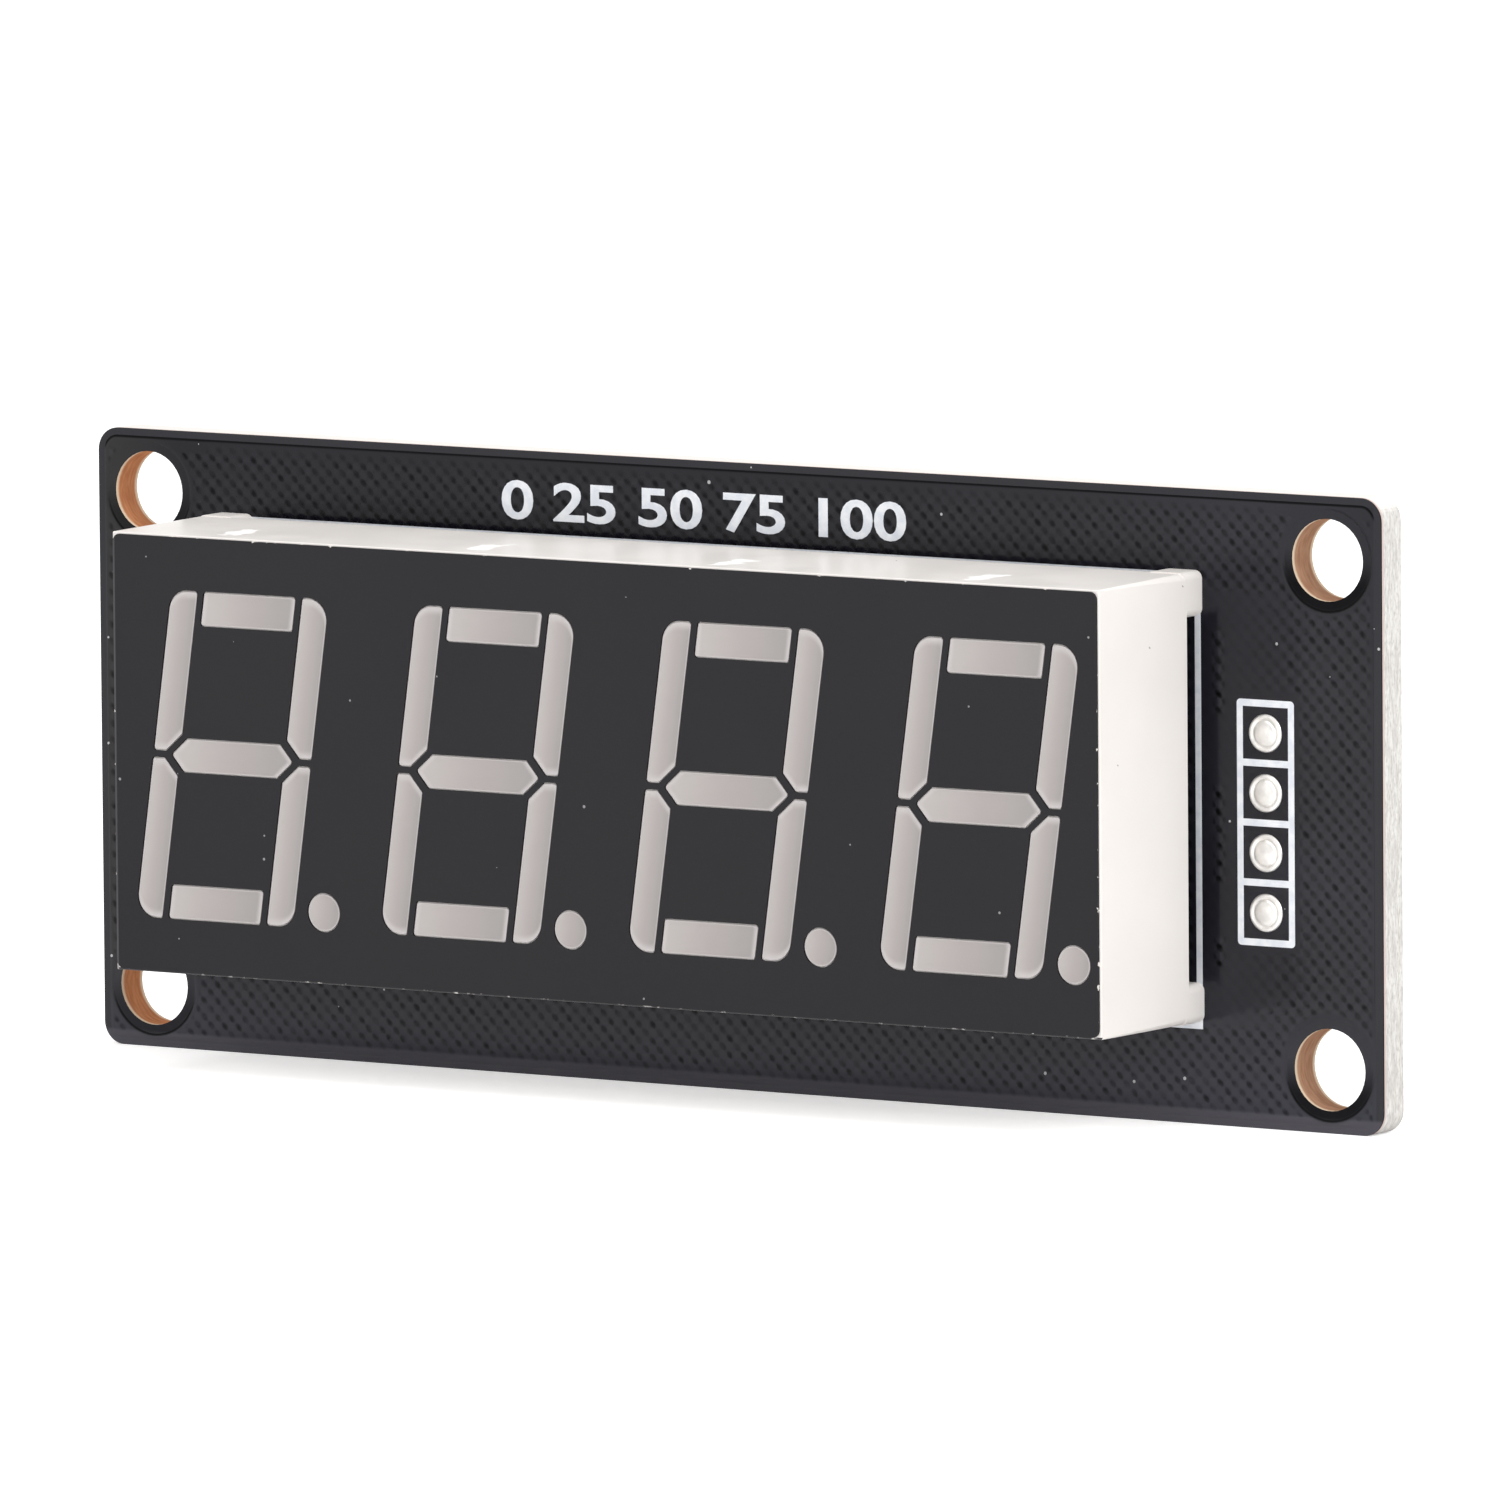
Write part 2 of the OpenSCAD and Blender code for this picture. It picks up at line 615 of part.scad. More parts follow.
// A block on the small part's middle, from y upwards
module small_block(i, y, l, h, w) { translate([small_x - l / 2, y, small_z(i) - w / 2]) cube([l, h, w]); }
module small_body(i) { small_block(i, cap_t, small_l - 2 * cap_t, small_h(i), small_w); }
module small_parts(list) { for (i = list) small_body(i); }
module resistors() { color("#e6e3dc") small_parts(RESISTORS); }
module capacitors() { color("#9a7b58") small_parts(CAPACITORS); }
module end_caps() {
    color("#c4c6c8") for (i = SMALL_PARTS) difference() {
        small_block(i, 0, small_l, small_h(i) + 2 * cap_t, small_w + 2 * cap_t);
        small_block(i, -cut, small_l - 2 * cap_l, small_h(i) + 1, small_w + 1);
        small_body(i);
    }
}
// Solder wedges in front of the leads' toes and the end caps
module chip_solder() {
    toe = chip_w / 2 + lead_reach;
    color("#c8ccd0") {
        at_leads() polygon([[toe, 0], [toe + toe_l, 0], [toe, lead_t]]);
        for (i = SMALL_PARTS) for (side = [0, 1]) translate([small_x, 0, small_z(i) - small_w / 2])
            mirror([side, 0, 0]) linear_extrude(small_w)
                polygon([[small_l / 2, 0], [small_l / 2 + toe_l, 0], [small_l / 2, small_h(i) * 0.6]]);
    }
}

circuit_board();
front_print();
rear_print();
display_housing();
face_film();
for (d = DIGITS) for (s = SEGMENTS)
    digit_segment(d, s);
for (d = DIGITS) digit_dice(d);
led_board();
back_resin();
display_pins(1);  // upper_display_pins
display_pins(-1);  // lower_display_pins
display_solder();
header_strip();
for (i = HEADER_PINS) header_pin(i);
header_solder();
driver_chip();
driver_leads();
resistors();
capacitors();
end_caps();
chip_solder();
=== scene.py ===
# %% [markdown]
# # A four digit display module
# The real object is a black circuit board that carries a moulded display with four slanted digits,
# a pin header and a driver chip. The solids come from the part's own source and are never changed here.
# This lesson dresses them: it adds the fine surface of the board and the numerals printed on it,
# gives every solid a procedural finish, and sets up floor, light and camera.

# %% Load the solids
import math
import bpy
import numpy as np
from mathutils import Matrix, Vector


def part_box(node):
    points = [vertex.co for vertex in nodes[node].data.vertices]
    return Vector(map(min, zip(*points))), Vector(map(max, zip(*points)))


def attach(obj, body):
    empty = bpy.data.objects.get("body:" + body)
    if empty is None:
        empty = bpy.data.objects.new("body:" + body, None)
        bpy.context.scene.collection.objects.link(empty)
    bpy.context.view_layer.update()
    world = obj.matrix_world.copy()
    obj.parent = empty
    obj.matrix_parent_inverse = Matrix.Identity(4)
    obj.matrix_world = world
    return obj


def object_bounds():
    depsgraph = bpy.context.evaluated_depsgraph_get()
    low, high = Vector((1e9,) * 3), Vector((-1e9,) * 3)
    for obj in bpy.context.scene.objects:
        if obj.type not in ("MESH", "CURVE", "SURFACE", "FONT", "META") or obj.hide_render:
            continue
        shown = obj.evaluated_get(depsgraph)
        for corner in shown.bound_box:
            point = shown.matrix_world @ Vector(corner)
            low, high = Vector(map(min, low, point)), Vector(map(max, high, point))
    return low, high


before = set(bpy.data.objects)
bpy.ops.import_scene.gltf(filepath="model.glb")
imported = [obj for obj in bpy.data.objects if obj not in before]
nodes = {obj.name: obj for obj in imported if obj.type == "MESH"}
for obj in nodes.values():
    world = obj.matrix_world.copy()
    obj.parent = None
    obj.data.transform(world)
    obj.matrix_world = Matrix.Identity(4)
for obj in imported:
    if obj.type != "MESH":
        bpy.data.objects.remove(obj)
cad_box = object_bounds()
MM = 0.001
print(len(nodes), "solids, box", [[round(v / MM, 2) for v in corner] for corner in cad_box])

# %% [markdown]
# Every place on the board follows from a few solids, so the script measures them first.
# The alternative, writing each number again, would let the dressing drift away from the solids.
# X runs to the right, Z up, and the display looks along -Y. All lengths below are in millimetres.

# %% Measure the board and the display
def box_mm(name):
    """Lowest and highest corner of a solid in millimetres."""
    low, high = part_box(name)
    return np.array(low) / MM, np.array(high) / MM


board_low, board_high = box_mm("circuit_board")
face_low, face_high = box_mm("face_film")
FRONT, REAR = float(board_low[1]), float(board_high[1])
HALF_W, HALF_H = float(board_high[0]), float(board_high[2])
BOARD_CORNER = 1.0
HOLE_X, HOLE_Z, HOLE_R = 30.1, 10.8, 1.75
HOLES = np.array([[sx * HOLE_X, sz * HOLE_Z] for sx in (-1, 1) for sz in (-1, 1)])
print("board", 2 * HALF_W, "x", 2 * HALF_H, "front at", FRONT, "face at", face_low[1])

# %% [markdown]
# Materials are wired from nodes. A handful of helpers keeps that short: one adds a node and
# sets or links its inputs, the others are the few sums that every finish needs.
# Colours are written as a picture shows them, from 0 to 255, and turned into linear light.

# %% Helpers for nodes
def add(tree, kind, inputs=None, **settings):
    """A node with its settings made, and each input either linked to a socket or set to a value."""
    node = tree.nodes.new(kind)
    for key, value in settings.items():
        setattr(node, key, value)
    for key, value in (inputs or {}).items():
        if isinstance(value, bpy.types.NodeSocket):
            tree.links.new(value, node.inputs[key])
        else:
            node.inputs[key].default_value = value
    return node


def maths(tree, operation, *values):
    """One sum of one, two or three values."""
    return add(tree, "ShaderNodeMath", dict(enumerate(values)), operation=operation).outputs[0]


def times(tree, first, second):
    """Two values multiplied."""
    return maths(tree, "MULTIPLY", first, second)


def less(tree, first, second):
    """The first value less the second."""
    return maths(tree, "SUBTRACT", first, second)


def square(tree, value):
    """A value times itself."""
    return maths(tree, "POWER", value, 2.0)


def beyond(tree, value, half):
    """How far a value lies past a half size, on either side of zero."""
    return less(tree, maths(tree, "ABSOLUTE", value), half)


def ramp(tree, value, low, high):
    """0 where the value is low, 1 where it is high, and a smooth step between."""
    limits = {"Value": value, "From Min": low, "From Max": high}
    return add(tree, "ShaderNodeMapRange", limits, interpolation_type="SMOOTHSTEP").outputs["Result"]


def blend(tree, mask, first, second):
    """The first colour where the mask is 0 and the second where it is 1."""
    return add(tree, "ShaderNodeMix", {0: mask, 6: first, 7: second}, data_type="RGBA").outputs[2]


def span(tree, mask, first, second):
    """The first number where the mask is 0 and the second where it is 1."""
    limits = {"Value": mask, "To Min": first, "To Max": second}
    return add(tree, "ShaderNodeMapRange", limits).outputs["Result"]


def axes(tree, vector):
    """The three parts of a vector."""
    return add(tree, "ShaderNodeSeparateXYZ", {0: vector}).outputs


def stretched(tree, place, x, y, z):
    """The place with each direction multiplied, so that a pattern is drawn out along one of them."""
    return add(tree, "ShaderNodeVectorMath", {0: place, 1: (x, y, z)}, operation="MULTIPLY").outputs[0]


def seen(red, green, blue):
    """Linear light for a colour as a picture shows it: the curve of a screen, undone."""
    share = np.array([red, green, blue]) / 255
    linear = np.where(share <= 0.04045, share / 12.92, ((share + 0.055) / 1.055) ** 2.4)
    return (*linear.tolist(), 1.0)


print("black face", [round(v, 3) for v in seen(56, 54, 59)])

# %% [markdown]
# Four effects come back on several finishes: a slow change of tone, sparse specks of dust,
# the wrinkled skin of a cast or coated surface, and a rim worn ragged.
# Each is a node group with named inputs, built once and placed with its own values.
# The groups give out masks and heights only, so each finish decides what to do with them.

# %% Node groups for the shared effects
CELL_LEAN_X, CELL_LEAN_Z = 0.7, 0.4


def effect(name, inputs, outputs):
    """An empty node group with named number inputs, a Place in millimetres, and named number outputs."""
    tree = bpy.data.node_groups.new(name, "ShaderNodeTree")
    tree.interface.new_socket("Place", in_out="INPUT", socket_type="NodeSocketVector")
    for label, value in inputs.items():
        socket = tree.interface.new_socket(label, in_out="INPUT", socket_type="NodeSocketFloat")
        socket.default_value = value
    for label in outputs:
        tree.interface.new_socket(label, in_out="OUTPUT", socket_type="NodeSocketFloat")
    start = tree.nodes.new("NodeGroupInput")
    end = tree.nodes.new("NodeGroupOutput")
    return tree, start.outputs, end.inputs


def divided(tree, place, size):
    """The place measured in units of size."""
    share = maths(tree, "DIVIDE", 1.0, size)
    return add(tree, "ShaderNodeVectorMath", {0: place, "Scale": share}, operation="SCALE").outputs[0]


def uneven_tone():
    """Slow noise, spread so that it reaches both 0 and 1."""
    tree, given, out = effect("uneven_tone", {"Size": 5.0}, ["Tone"])
    place = divided(tree, given["Place"], given["Size"])
    noise = add(tree, "ShaderNodeTexNoise", {"Vector": place, "Scale": 1.0, "Detail": 3.0})
    tree.links.new(ramp(tree, noise.outputs[0], 0.3, 0.7), out["Tone"])
    return tree


def dust_specks():
    """Round spots at the middle of a random share of flat cells, each of its own size.

    The cells lie in X and Z, moved along with Y, so that they are cut whole by a face in any direction.
    """
    tree, given, out = effect("dust_specks", {"Spacing": 1.5, "Radius": 0.08, "Share": 0.3}, ["Mask"])
    x, y, z = axes(tree, given["Place"])
    across = maths(tree, "MULTIPLY_ADD", y, CELL_LEAN_X, x)
    up = maths(tree, "MULTIPLY_ADD", y, CELL_LEAN_Z, z)
    level = add(tree, "ShaderNodeCombineXYZ", {0: across, 1: up}).outputs[0]
    place = divided(tree, level, given["Spacing"])
    cells = add(tree, "ShaderNodeTexVoronoi", {"Vector": place, "Scale": 1.0}, voronoi_dimensions="2D")
    chance = axes(tree, cells.outputs["Color"])
    edge = times(tree, given["Radius"], maths(tree, "ADD", chance[1], 0.3))
    inside = maths(tree, "LESS_THAN", cells.outputs["Distance"], edge)
    kept = maths(tree, "LESS_THAN", chance[0], given["Share"])
    tree.links.new(times(tree, inside, kept), out["Mask"])
    return tree


def skin():
    """Fine noise as a height, for the soft wrinkles of lacquer, cast resin or moulded plastic."""
    tree, given, out = effect("skin", {"Size": 0.3, "Detail": 2.0}, ["Height"])
    place = divided(tree, given["Place"], given["Size"])
    noise = add(tree, "ShaderNodeTexNoise", {"Vector": place, "Scale": 1.0, "Detail": given["Detail"]})
    tree.links.new(noise.outputs[0], out["Height"])
    return tree


def worn_rim():
    """How close a place is to the border of a rectangle in X and Z, made ragged with noise."""
    sizes = {"Middle X": 0.0, "Middle Z": 0.0, "Half W": 10.0, "Half H": 10.0, "Width": 0.1}
    tree, given, out = effect("worn_rim", sizes, ["Mask"])
    x, y, z = axes(tree, given["Place"])
    past_x = beyond(tree, less(tree, x, given["Middle X"]), given["Half W"])
    past_z = beyond(tree, less(tree, z, given["Middle Z"]), given["Half H"])
    inset = times(tree, maths(tree, "MAXIMUM", past_x, past_z), -1.0)
    fine = add(tree, "ShaderNodeTexNoise", {"Vector": given["Place"], "Scale": 3.0, "Detail": 5.0})
    reach = times(tree, given["Width"], ramp(tree, fine.outputs[0], 0.64, 0.74))
    tree.links.new(maths(tree, "LESS_THAN", inset, reach), out["Mask"])
    return tree


UNEVEN, DUST, SKIN, WORN = uneven_tone(), dust_specks(), skin(), worn_rim()
print("effects", [group.name for group in bpy.data.node_groups])

# %% [markdown]
# A finish starts from one helper that makes the material, sets the plain values on the shader's
# own sockets and returns the place in millimetres. Values that stay the same all over are never wired.

# %% Helper for finishes
def finish(name, **plain):
    """A material, its tree, its shader and the place in millimetres; plain values go on the shader."""
    material = bpy.data.materials.new(name)
    material.use_nodes = True
    tree = material.node_tree
    shader = tree.nodes["Principled BSDF"]
    for label, value in plain.items():
        shader.inputs[label.replace("_", " ")].default_value = value
    where = add(tree, "ShaderNodeTexCoord").outputs["Object"]
    place = add(tree, "ShaderNodeVectorMath", {0: where, "Scale": 1 / MM}, operation="SCALE").outputs[0]
    return material, tree, shader, place


def placed(tree, group, place, output, **values):
    """One output of a shared effect with its own values."""
    inputs = {"Place": place, **{label.replace("_", " "): value for label, value in values.items()}}
    return add(tree, "ShaderNodeGroup", inputs, node_tree=group).outputs[output]


def uneven(tree, place, size):
    """Slow changes of tone from 0 to 1, in patches of about that size."""
    return placed(tree, UNEVEN, place, "Tone", Size=size)


def wire(tree, shader, colour, roughness=None):
    """Links a colour, and a roughness if there is one, to the shader."""
    tree.links.new(colour, shader.inputs["Base Color"])
    if roughness is not None:
        tree.links.new(roughness, shader.inputs["Roughness"])


def wrinkle(tree, shader, place, size, depth):
    """Links the skin effect to the shader as bumps; size and depth are in millimetres."""
    height = placed(tree, SKIN, place, "Height", Size=size)
    bump = add(tree, "ShaderNodeBump", {"Strength": 1.0, "Distance": depth * MM, "Height": height})
    tree.links.new(bump.outputs[0], shader.inputs["Normal"])


print("finishes will read places in millimetres")

# %% [markdown]
# The board is a glass laminate under black lacquer. Its cut edges show the cream laminate with
# grey streaks of glass, and the screw holes show brown copper. One solid carries all three, so
# the finish looks at the direction of the surface: faces along Y are lacquer, the rest is a cut.
# A cut near the outline is an edge, and any other cut is the wall of a hole.

# %% Black lacquer and the board's cut edges
LACQUER = {"Specular_IOR_Level": 0.0, "Coat_Roughness": 0.13}
LACQUER_WRINKLE = 0.5, 0.002
LEFT_RIGHT = -20.0, 20.0
SHADE_RING, SHADE_BELOW = (HOLE_R + 0.65, HOLE_R + 0.3), (0.6, -1.2)
OUTLINE_BAND, FOOT_BAND = (-0.42, -0.32), (0.75 - HALF_H, 0.55 - HALF_H)
EDGE_BAND = 0.55
RESIN_RIM, BLACK_RIM, HOLE_LIT_RIM = (0.3, 0.1), (0.09, 0.05), (0.26, 0.1)


def past_outline(tree, x, z):
    """How far outside the board's straight edges a place is; below zero inside."""
    return maths(tree, "MAXIMUM", beyond(tree, x, HALF_W), beyond(tree, z, HALF_H))


def hole_shade(tree, place):
    """1 close below a screw hole, for painted shade: the dark crescent that shade and a dark reflection lay
    on the sloped lacquer there.
    """
    x, y, z = axes(tree, place)
    off_x = beyond(tree, x, HOLE_X)
    off_z = beyond(tree, z, HOLE_Z)
    away = maths(tree, "SQRT", maths(tree, "ADD", square(tree, off_x), square(tree, off_z)))
    below = ramp(tree, times(tree, off_z, maths(tree, "SIGN", z)), *SHADE_BELOW)
    ring = times(tree, ramp(tree, away, *SHADE_RING), below)
    return times(tree, ring, span(tree, ramp(tree, x, *LEFT_RIGHT), 0.6, 0.9))


def lacquer(tree, place):
    """Near black in slow patches, paler to the right, below and along the outline, with sparse pale dust.

    The paler left edge is a painted reflection, the paler part towards the bottom is painted light,
    and the dark below the screw holes is painted shade.
    """
    tone = uneven(tree, place, 6.0)
    x, y, z = axes(tree, place)
    dark = blend(tree, tone, seen(10, 10, 18), seen(15, 15, 24))
    pale = blend(tree, tone, seen(28, 28, 35), seen(36, 36, 43))
    black = blend(tree, ramp(tree, x, 0.0, 30.0), dark, pale)
    # Painted reflection: paler towards the board's left edge.
    black = blend(tree, ramp(tree, x, -28.0, -HALF_W), black, seen(38, 36, 37))
    # Painted light: paler towards the bottom, making up for the floor's shade there.
    black = blend(tree, ramp(tree, z, -8.0, -HALF_H), black, seen(45, 45, 56))
    outline = ramp(tree, past_outline(tree, x, z), *OUTLINE_BAND)
    black = blend(tree, outline, black, seen(37, 37, 43))
    black = blend(tree, ramp(tree, z, *FOOT_BAND), black, seen(72, 70, 78))
    # Painted shade: a dark crescent below each screw hole.
    black = blend(tree, hole_shade(tree, place), black, seen(7, 7, 9))
    dust = placed(tree, DUST, place, "Mask", Spacing=2.4, Radius=0.026, Share=0.16)
    return blend(tree, dust, black, seen(190, 190, 192))


def gloss(tree, shader, mask, z):
    """Clear coat of the lacquer, as strong as the mask and a little thinner towards the top."""
    coat = span(tree, ramp(tree, z, 4.0, 11.0), 0.55, 0.47)
    tree.links.new(times(tree, mask, coat), shader.inputs["Coat Weight"])


def board_finish():
    """Lacquer on the faces, streaked laminate on the outer edges and copper in the holes."""
    material, tree, shader, place = finish("board_lacquer_and_laminate", **LACQUER)
    x, y, z = axes(tree, place)
    normal = axes(tree, add(tree, "ShaderNodeNewGeometry").outputs["True Normal"])
    on_face = maths(tree, "GREATER_THAN", maths(tree, "ABSOLUTE", normal[1]), 0.5)
    on_edge = maths(tree, "GREATER_THAN", past_outline(tree, x, z), -EDGE_BAND)
    to_front = less(tree, y, FRONT)
    to_face = maths(tree, "MINIMUM", to_front, less(tree, REAR, y))
    fibre = uneven(tree, stretched(tree, place, 0.8, 4.0, 0.8), 0.6)
    speck = uneven(tree, stretched(tree, place, 1.0, 2.5, 1.0), 0.25)
    glass = blend(tree, fibre, seen(229, 227, 223), seen(204, 201, 197))
    streak = times(tree, maths(tree, "POWER", speck, 3.0), 0.5)
    glass = blend(tree, streak, glass, seen(168, 163, 158))
    # Painted light: cut edges that face up are paler, as if lit from above.
    glass = blend(tree, ramp(tree, normal[2], 0.3, 0.8), glass, seen(240, 236, 232))
    glass = blend(tree, ramp(tree, to_front, *RESIN_RIM), glass, seen(206, 188, 182))
    glass = blend(tree, ramp(tree, to_front, *BLACK_RIM), glass, seen(24, 22, 25))
    rightward = ramp(tree, x, *LEFT_RIGHT)
    bright = blend(tree, rightward, seen(204, 147, 107), seen(186, 148, 122))
    dull = blend(tree, rightward, seen(182, 124, 88), seen(166, 126, 101))
    copper = blend(tree, fibre, bright, dull)
    # Painted light and shade: each hole wall is paler at both faces and a darker brown in between.
    copper = blend(tree, ramp(tree, to_face, *HOLE_LIT_RIM), copper, seen(226, 208, 184))
    cut_edge = blend(tree, on_edge, copper, glass)
    colour = blend(tree, on_face, cut_edge, lacquer(tree, place))
    wire(tree, shader, colour, span(tree, on_face, 0.6, 0.36))
    wrinkle(tree, shader, place, *LACQUER_WRINKLE)
    # The painted shade below the holes takes most of the gloss away as well.
    shaded = times(tree, hole_shade(tree, place), 0.8)
    gloss(tree, shader, times(tree, on_face, less(tree, 1.0, shaded)), z)
    return material


BOARD_FINISH = board_finish()
print(BOARD_FINISH.name, len(BOARD_FINISH.node_tree.nodes), "nodes")

# %% [markdown]
# The lacquer lies over a copper sheet with a staggered lattice of small openings, and it sinks a little
# into each of them. That relief is finer than a solid needs, so it is a surface of its own here.
# Its lacquer is the same, with painted shade and without gloss in each dimple and on slopes that face up,
# and painted highlights on the ridges between the dimples. The dimples are drawn longer
# along one diagonal, and only where the surface says that there are any: it stores that on its points.

# %% Black lacquer over the copper relief
COPPER_T = 0.035
PITCH, LATTICE_X, LATTICE_Z = 0.719, 0.2254, -0.1679
STAGGER = 0.0, 0.5
SPOT_HALVES, CREST_HALVES = (0.38, 0.23), (0.4, 0.3)


def dimple_mask(tree, place, shift_x, shift_z, long_half, short_half):
    """1 in the middle of long spots on a square lattice that is shifted by a share of its pitch."""
    x, y, z = axes(tree, place)
    off_x = maths(tree, "ADD", x, shift_x * PITCH - LATTICE_X)
    off_z = maths(tree, "ADD", z, shift_z * PITCH - LATTICE_Z)
    off_x = maths(tree, "WRAP", off_x, PITCH / 2, -PITCH / 2)
    off_z = maths(tree, "WRAP", off_z, PITCH / 2, -PITCH / 2)
    long_way = maths(tree, "DIVIDE", less(tree, off_x, off_z), long_half)
    short_way = maths(tree, "DIVIDE", maths(tree, "ADD", off_x, off_z), short_half)
    return ramp(tree, maths(tree, "ADD", square(tree, long_way), square(tree, short_way)), 1.0, 0.0)


def relief_finish():
    """Lacquer with painted highlights on the ridges between dimples, and painted shade with less gloss in
    dimples and on slopes that face up.
    """
    material, tree, shader, place = finish("relief_lacquer", **LACQUER)
    x, y, z = axes(tree, place)
    front_depth = maths(tree, "ABSOLUTE", less(tree, y, FRONT - COPPER_T))
    rear_depth = maths(tree, "ABSOLUTE", less(tree, REAR + COPPER_T, y))
    depth = maths(tree, "MINIMUM", front_depth, rear_depth)
    tilt = axes(tree, add(tree, "ShaderNodeNewGeometry").outputs["Normal"])[2]
    # Painted shade on slopes that face up, where the copper relief sinks.
    slope_shade = times(tree, ramp(tree, depth, 0.001, 0.5 * COPPER_T), ramp(tree, tilt, 0.0, 0.14))
    dimpled = add(tree, "ShaderNodeAttribute", attribute_name="dimpled").outputs["Fac"]
    # Painted shade in the middle of each dimple, and painted highlights on the ridges between them.
    spots = [dimple_mask(tree, place, shift, shift, *SPOT_HALVES) for shift in STAGGER]
    crest_highlights = [dimple_mask(tree, place, shift, 0.5 - shift, *CREST_HALVES) for shift in STAGGER]
    patches = uneven(tree, place, 0.55)
    spots = times(tree, maths(tree, "MAXIMUM", *spots), span(tree, patches, 0.2, 0.8))
    crest_highlights = times(tree, maths(tree, "MAXIMUM", *crest_highlights), span(tree, patches, 0.05, 0.18))
    spots = times(tree, spots, dimpled)
    # Painted shade of slopes and dimples: darker colour, rougher and with less gloss.
    foot = maths(tree, "MAXIMUM", times(tree, slope_shade, 0.9), spots)
    colour = blend(tree, times(tree, crest_highlights, dimpled), lacquer(tree, place), seen(62, 62, 68))
    colour = blend(tree, foot, colour, seen(8, 8, 9))
    wire(tree, shader, colour, span(tree, foot, 0.36, 0.6))
    wrinkle(tree, shader, place, *LACQUER_WRINKLE)
    gloss(tree, shader, less(tree, 1.0, times(tree, foot, 0.85)), z)
    return material


RELIEF_FINISH = relief_finish()
print(RELIEF_FINISH.name)

# %% [markdown]
# New pieces are arrays of points worked out in one go. One helper turns points and faces into a
# mesh whose place is in its points, and ties it to the module and to the finish's slot.
# The other reads a mesh into an array.

# %% Helpers for new pieces
SHARP = math.radians(50)


def read(items, label, width=1, kind=float):
    """One value of every item of a mesh as an array, in rows where the value has a width."""
    flat = np.empty(width * len(items), kind)
    items.foreach_get(label, flat)
    return flat.reshape(-1, width) if width > 1 else flat


def add_piece(name, points, faces, material, smooth=True):
    """A mesh from points in millimetres and lists of faces, riding on the module."""
    mesh = bpy.data.meshes.new(name)
    corners = [corner for block in faces for corner in block.tolist()]
    mesh.from_pydata((points * MM).tolist(), [], corners)
    mesh.polygons.foreach_set("use_smooth", np.full(len(corners), smooth))
    mesh.set_sharp_from_angle(angle=SHARP)
    mesh.materials.append(material)
    mesh.update()
    piece = bpy.data.objects.new(name, mesh)
    bpy.context.scene.collection.objects.link(piece)
    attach(piece, "root")
    print(name, len(points), "points,", len(corners), "faces")
    return piece


# %% [markdown]
# The copper sheet is a height over the board's face: level in the field, lowered at the dimples, and
# rounded down to the bare laminate along the outline and round the screw holes. Bumps in the shader
# would be shorter, but the board is seen at a grazing angle, where only real depth holds up.
# One helper closes any such height: a flat copy inside the board, and walls round the border.
# Each square is split so that its diagonal misses the lowered point, which keeps a dimple a pyramid.

# %% Helper that closes a height over a face
SUNK = 0.02


def closed_sheet(x, z, height, kept, level, out):
    """Points (x, level + out * height, z) on a grid, its kept squares as triangles, a flat foot and walls.

    x grows along the first direction of the grid and z along the second; out is -1 in front, 1 behind.
    """
    i, k = np.indices(x.shape)
    top = np.stack([x, level + out * height, z], axis=-1).reshape(-1, 3)
    foot = top * [1, 0, 1] + [0, level - out * SUNK, 0]
    a = (i * x.shape[1] + k)[:-1, :-1]
    b, c, d = a + x.shape[1], a + x.shape[1] + 1, a + 1
    even = ((i + k)[:-1, :-1] % 2 == 0)[..., None]
    first = np.where(even, np.stack([a, b, d], -1), np.stack([a, b, c], -1))[kept]
    second = np.where(even, np.stack([b, c, d], -1), np.stack([a, c, d], -1))[kept]
    faces = np.concatenate([first, second])[:, ::-out]
    count = len(top)
    sides = np.concatenate([faces[:, [0, 1]], faces[:, [1, 2]], faces[:, [2, 0]]])
    border = sides[~np.isin(sides[:, 0] * count + sides[:, 1], sides[:, 1] * count + sides[:, 0])]
    walls = np.stack([border[:, 1], border[:, 0], border[:, 0] + count, border[:, 1] + count], -1)
    used = np.unique(faces)
    used = np.concatenate([used, used + count])
    index = np.zeros(2 * count, int)
    index[used] = np.arange(len(used))
    blocks = [index[faces], index[faces[:, ::-1] + count], index[walls]]
    return np.concatenate([top, foot])[used], blocks


def joined(parts):
    """Several sets of points and faces as one, with the faces' numbers moved on."""
    starts = np.cumsum([0] + [len(points) for points, faces in parts])
    faces = [block + start for (points, blocks), start in zip(parts, starts) for block in blocks]
    return np.concatenate([points for points, blocks in parts]), faces


# %% [markdown]
# The lattice of dimples keeps clear of the screw holes, the outline and the parts. Beside the display, the
# dimples' painted shade and highlights fade out towards its side, where its reflection hides them, all but
# one column at its shadow's edge.
# Two functions of a place say all that: how deep the nearest dimple is and whether there is any.

# %% Where the dimples are
KEEP_OUT, RING_OUT = 2.13, 2.35
BORDER_OUT = 0.3
CLEAR_SIDE, CLEAR_TOP, CLEAR_FOOT, CLEAR_SOFT = 0.5, 0.85, 0.58, 0.1
RING_SOFT = 0.15
# Beside the display the painted shade and highlights of the dimples fade out; one column at the edge of the
# display's shadow keeps a strong painted shade.
BESIDE, BESIDE_H, BESIDE_LAP = (24.6, 28.4), 9.3, 1.2
COLUMN_X, COLUMN_HALF, COLUMN_SHADE = LATTICE_X + 34 * PITCH, 0.3, 1.6
COLUMN_RUNS = [(4.1, 7.6), (-3.1, 1.0), (-6.8, -5.5)]
rng = np.random.default_rng(7)


def box_inset(x, z, low, high):
    """How far inside a rectangle in X and Z a place is; below zero outside."""
    across = np.minimum(x - low[0], high[0] - x)
    return np.minimum(across, np.minimum(z - low[2], high[2] - z))


